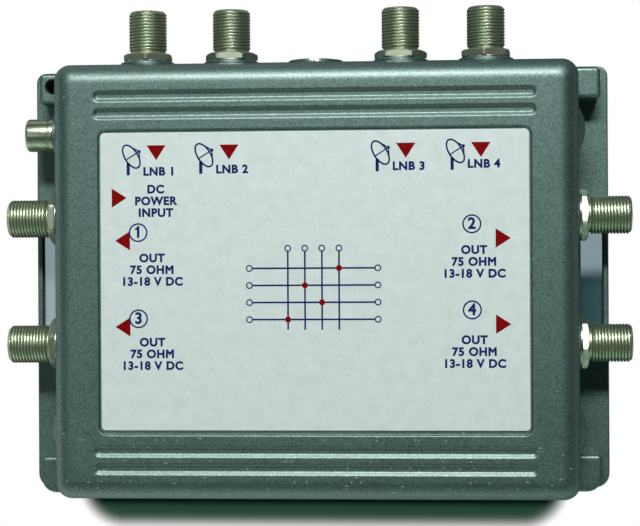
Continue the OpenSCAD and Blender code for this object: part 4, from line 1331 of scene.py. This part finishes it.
class MULTISWITCH_OT_ports(bpy.types.Operator):
    """Builds the eight threaded ports with their washers and beads"""

    bl_idname = "multiswitch.ports"
    bl_label = "Ports"

    def execute(self, context):
        sizes = context.scene.multiswitch_ports
        tones = context.scene.multiswitch_colours
        nickel = plated("port_nickel", tones.nickel, tones.tarnish, 0.42)
        plastic = moulded("bead_plastic", tones.bead, 0.4)
        steel = plated("washer_steel", tones.steel, shaded(tones.steel, 0.7), 0.32)
        gold = plated("contact_plating", (0.80, 0.62, 0.28), (0.55, 0.42, 0.20), 0.25)
        hole = sizes.spigot_d / 2 + 2 * sizes.fit
        thin = washer(hole, sizes.washer_d / 2, 0, sizes.washer_t, 0.08 * MM)
        washers = []
        for name, turn, place in port_places(sizes):
            inner, _ = reach_along(name + "_shell", place)
            shell = placed(port_shell(sizes, inner, turn), place)
            add_piece(name, [shell], nickel, "port_nickel", [name + "_shell"])
            bead = placed(port_bead(sizes, *reach_along(name + "_insulator", place)), place)
            add_piece(name + "_bead", [bead], plastic, "bead_plastic", [name + "_insulator"])
            dress([name + "_contact"], gold)
            washers.append(placed(thin, place))
        add_piece("washers", washers, steel, "washer_steel", ["port_washers"])
        return {"FINISHED"}


class MULTISWITCH_OT_power_jack(bpy.types.Operator):
    """Builds the smooth power jack"""

    bl_idname = "multiswitch.power_jack"
    bl_label = "Power jack"

    def execute(self, context):
        sizes = context.scene.multiswitch_ports
        tones = context.scene.multiswitch_colours
        place = jack_place()
        shell = placed(jack_barrel(sizes, *reach_along("power_jack_shell", place)), place)
        nickel = plated("jack_nickel", tones.nickel, tones.tarnish, 0.29)
        add_piece("power_jack", [shell], nickel, "jack_nickel", ["power_jack_shell"])
        dress(["power_jack_insulator"], moulded("jack_bead", (0.62, 0.61, 0.55), 0.42))
        brass = plated("jack_contact", (0.66, 0.62, 0.48), (0.42, 0.40, 0.30), 0.26)
        dress(["power_jack_contact", "power_jack_nut"], brass)
        return {"FINISHED"}


class MULTISWITCH_OT_ground_terminal(bpy.types.Operator):
    """Builds the slotted ground screw and its washer"""

    bl_idname = "multiswitch.ground_terminal"
    bl_label = "Ground terminal"

    def execute(self, context):
        sizes = context.scene.multiswitch_ports
        tones = context.scene.multiswitch_colours
        place = ground_place()
        steel = plated("ground_steel", tones.steel, shaded(tones.steel, 0.66), 0.28)
        low, high = node_box("ground_washer")
        hole = sizes.ground_thread_d / 2 + 3 * sizes.fit
        top = sizes.fit + high[1] - low[1]
        flat = placed(washer(hole, (high[0] - low[0]) / 2, sizes.fit, top, 0.1 * MM), place)
        add_piece("terminal_washer", [flat], steel, "ground_steel", ["ground_washer"], "terminal_washer")
        low, high = node_box("ground_screw")
        head_r, head_t = (high[0] - low[0]) / 2, sizes.ground_head_t
        end, top = reach_along("ground_screw", place)
        head = slotted_head(head_r, top - head_t, top, sizes.slot_w, head_t / 2, 0.35 * MM)
        overlap = 0.3 * MM
        solids = [placed(solid, place) for solid in (head, ground_shank(sizes, end, top - head_t + overlap))]
        add_piece("terminal_screw", solids, steel, "ground_steel", ["ground_screw"], "terminal_screw")
        return {"FINISHED"}


class MULTISWITCH_OT_back(bpy.types.Operator):
    """Finishes the rear cover and its gasket, and builds the cover screws"""

    bl_idname = "multiswitch.back"
    bl_label = "Back"

    def execute(self, context):
        tones = context.scene.multiswitch_colours
        dress(["rear_cover"], rolled("cover_steel", tones.steel, 0.34, (1.0, 0.04, 1.0)))
        dress(["cover_gasket"], moulded("gasket_rubber", (0.018, 0.018, 0.020), 0.72))
        low, high = node_box("cover_screws")
        shank_r, cone_l = 1.25 * MM, 1.05 * MM
        screw = cross_head(COVER_HEAD_R, cone_l, shank_r, high[2] - low[2])
        solids = [placed(screw, axes((x, y, low[2]), (1, 0, 0), (0, 0, -1))) for x, y in screw_spots()]
        bright = plated("screw_steel", tones.steel, shaded(tones.steel, 0.7), 0.26)
        add_piece("back_screws", solids, bright, "screw_steel", ["cover_screws"])
        dress(["board_screws"], bright)
        return {"FINISHED"}


class MULTISWITCH_OT_inside(bpy.types.Operator):
    """Finishes the board and the parts on it"""

    bl_idname = "multiswitch.inside"
    bl_label = "Inside"

    def execute(self, context):
        dress(["circuit_board"], laminate())
        dress(["shield_frame", "shield_lid"], rolled("tinplate", (0.62, 0.63, 0.62), 0.3, (0.05, 1.0, 1.0)))
        chip = moulded("chip_plastic", (0.022, 0.022, 0.024), 0.5)
        dress(["switch_chips", "decoder_chips", "voltage_regulator"], chip)
        dress(["choke_coils"], moulded("choke_ferrite", (0.050, 0.048, 0.048), 0.6))
        dress(["filter_capacitors"], moulded("capacitor_sleeve", (0.020, 0.024, 0.060), 0.35))
        return {"FINISHED"}


class MULTISWITCH_OT_stage(bpy.types.Operator):
    """Sets the floor, the light and the camera"""

    bl_idname = "multiswitch.stage"
    bl_label = "Stage"

    def execute(self, context):
        scene = context.scene
        stage = scene.multiswitch_stage
        half = stage.floor_size / 2
        drop = 0.1 * MM
        sheet = bpy.data.meshes.new("floor")
        sheet.from_pydata([(sx * half, sy * half, -drop) for sx, sy in CORNERS], [], [(0, 1, 2, 3)])
        sheet.materials.append(pale_floor())
        floor = bpy.data.objects.new("floor", sheet)
        scene.collection.objects.link(floor)
        scene.world = soft_sky(stage)
        for name in ("key", "fill"):
            scene.collection.objects.link(area_lamp(name, stage))
        lens = bpy.data.cameras.new("camera")
        lens.lens = stage.lens
        lens.clip_start = 10 * MM
        camera = bpy.data.objects.new("camera", lens)
        camera.location = stage.eye
        camera.rotation_mode = "ZYX"
        camera.rotation_euler = (stage.tilt[0], stage.tilt[1], stage.tilt[2])
        scene.collection.objects.link(camera)
        scene.camera = camera
        scene.view_settings.view_transform = "Standard"
        return {"FINISHED"}


OPERATORS = [
    MULTISWITCH_OT_stage,
    MULTISWITCH_OT_casting,
    MULTISWITCH_OT_label,
    MULTISWITCH_OT_ports,
    MULTISWITCH_OT_power_jack,
    MULTISWITCH_OT_ground_terminal,
    MULTISWITCH_OT_back,
    MULTISWITCH_OT_inside,
]


class MULTISWITCH_PT_panel(bpy.types.Panel):
    """Lists the pieces that can be built"""

    bl_idname = "MULTISWITCH_PT_panel"
    bl_label = "Multiswitch"
    bl_space_type = "VIEW_3D"
    bl_region_type = "UI"
    bl_category = "Multiswitch"

    def draw(self, context):
        for operator in OPERATORS:
            self.layout.operator(operator.bl_idname)


GROUPS = {
    "multiswitch_casting": CastingSizes,
    "multiswitch_ports": PortSizes,
    "multiswitch_print": PrintSizes,
    "multiswitch_colours": Colours,
    "multiswitch_stage": StageSettings,
}


def register():
    for group in [*GROUPS.values(), *OPERATORS, MULTISWITCH_PT_panel]:
        bpy.utils.register_class(group)
    for name, group in GROUPS.items():
        setattr(bpy.types.Scene, name, PointerProperty(type=group))


def unregister():
    for name in GROUPS:
        delattr(bpy.types.Scene, name)
    for group in reversed([*GROUPS.values(), *OPERATORS, MULTISWITCH_PT_panel]):
        bpy.utils.unregister_class(group)


def main():
    register()
    bpy.ops.multiswitch.stage()
    bpy.ops.multiswitch.casting()
    bpy.ops.multiswitch.label()
    bpy.ops.multiswitch.ports()
    bpy.ops.multiswitch.power_jack()
    bpy.ops.multiswitch.ground_terminal()
    bpy.ops.multiswitch.back()
    bpy.ops.multiswitch.inside()


if __name__ == "__main__":
    main()
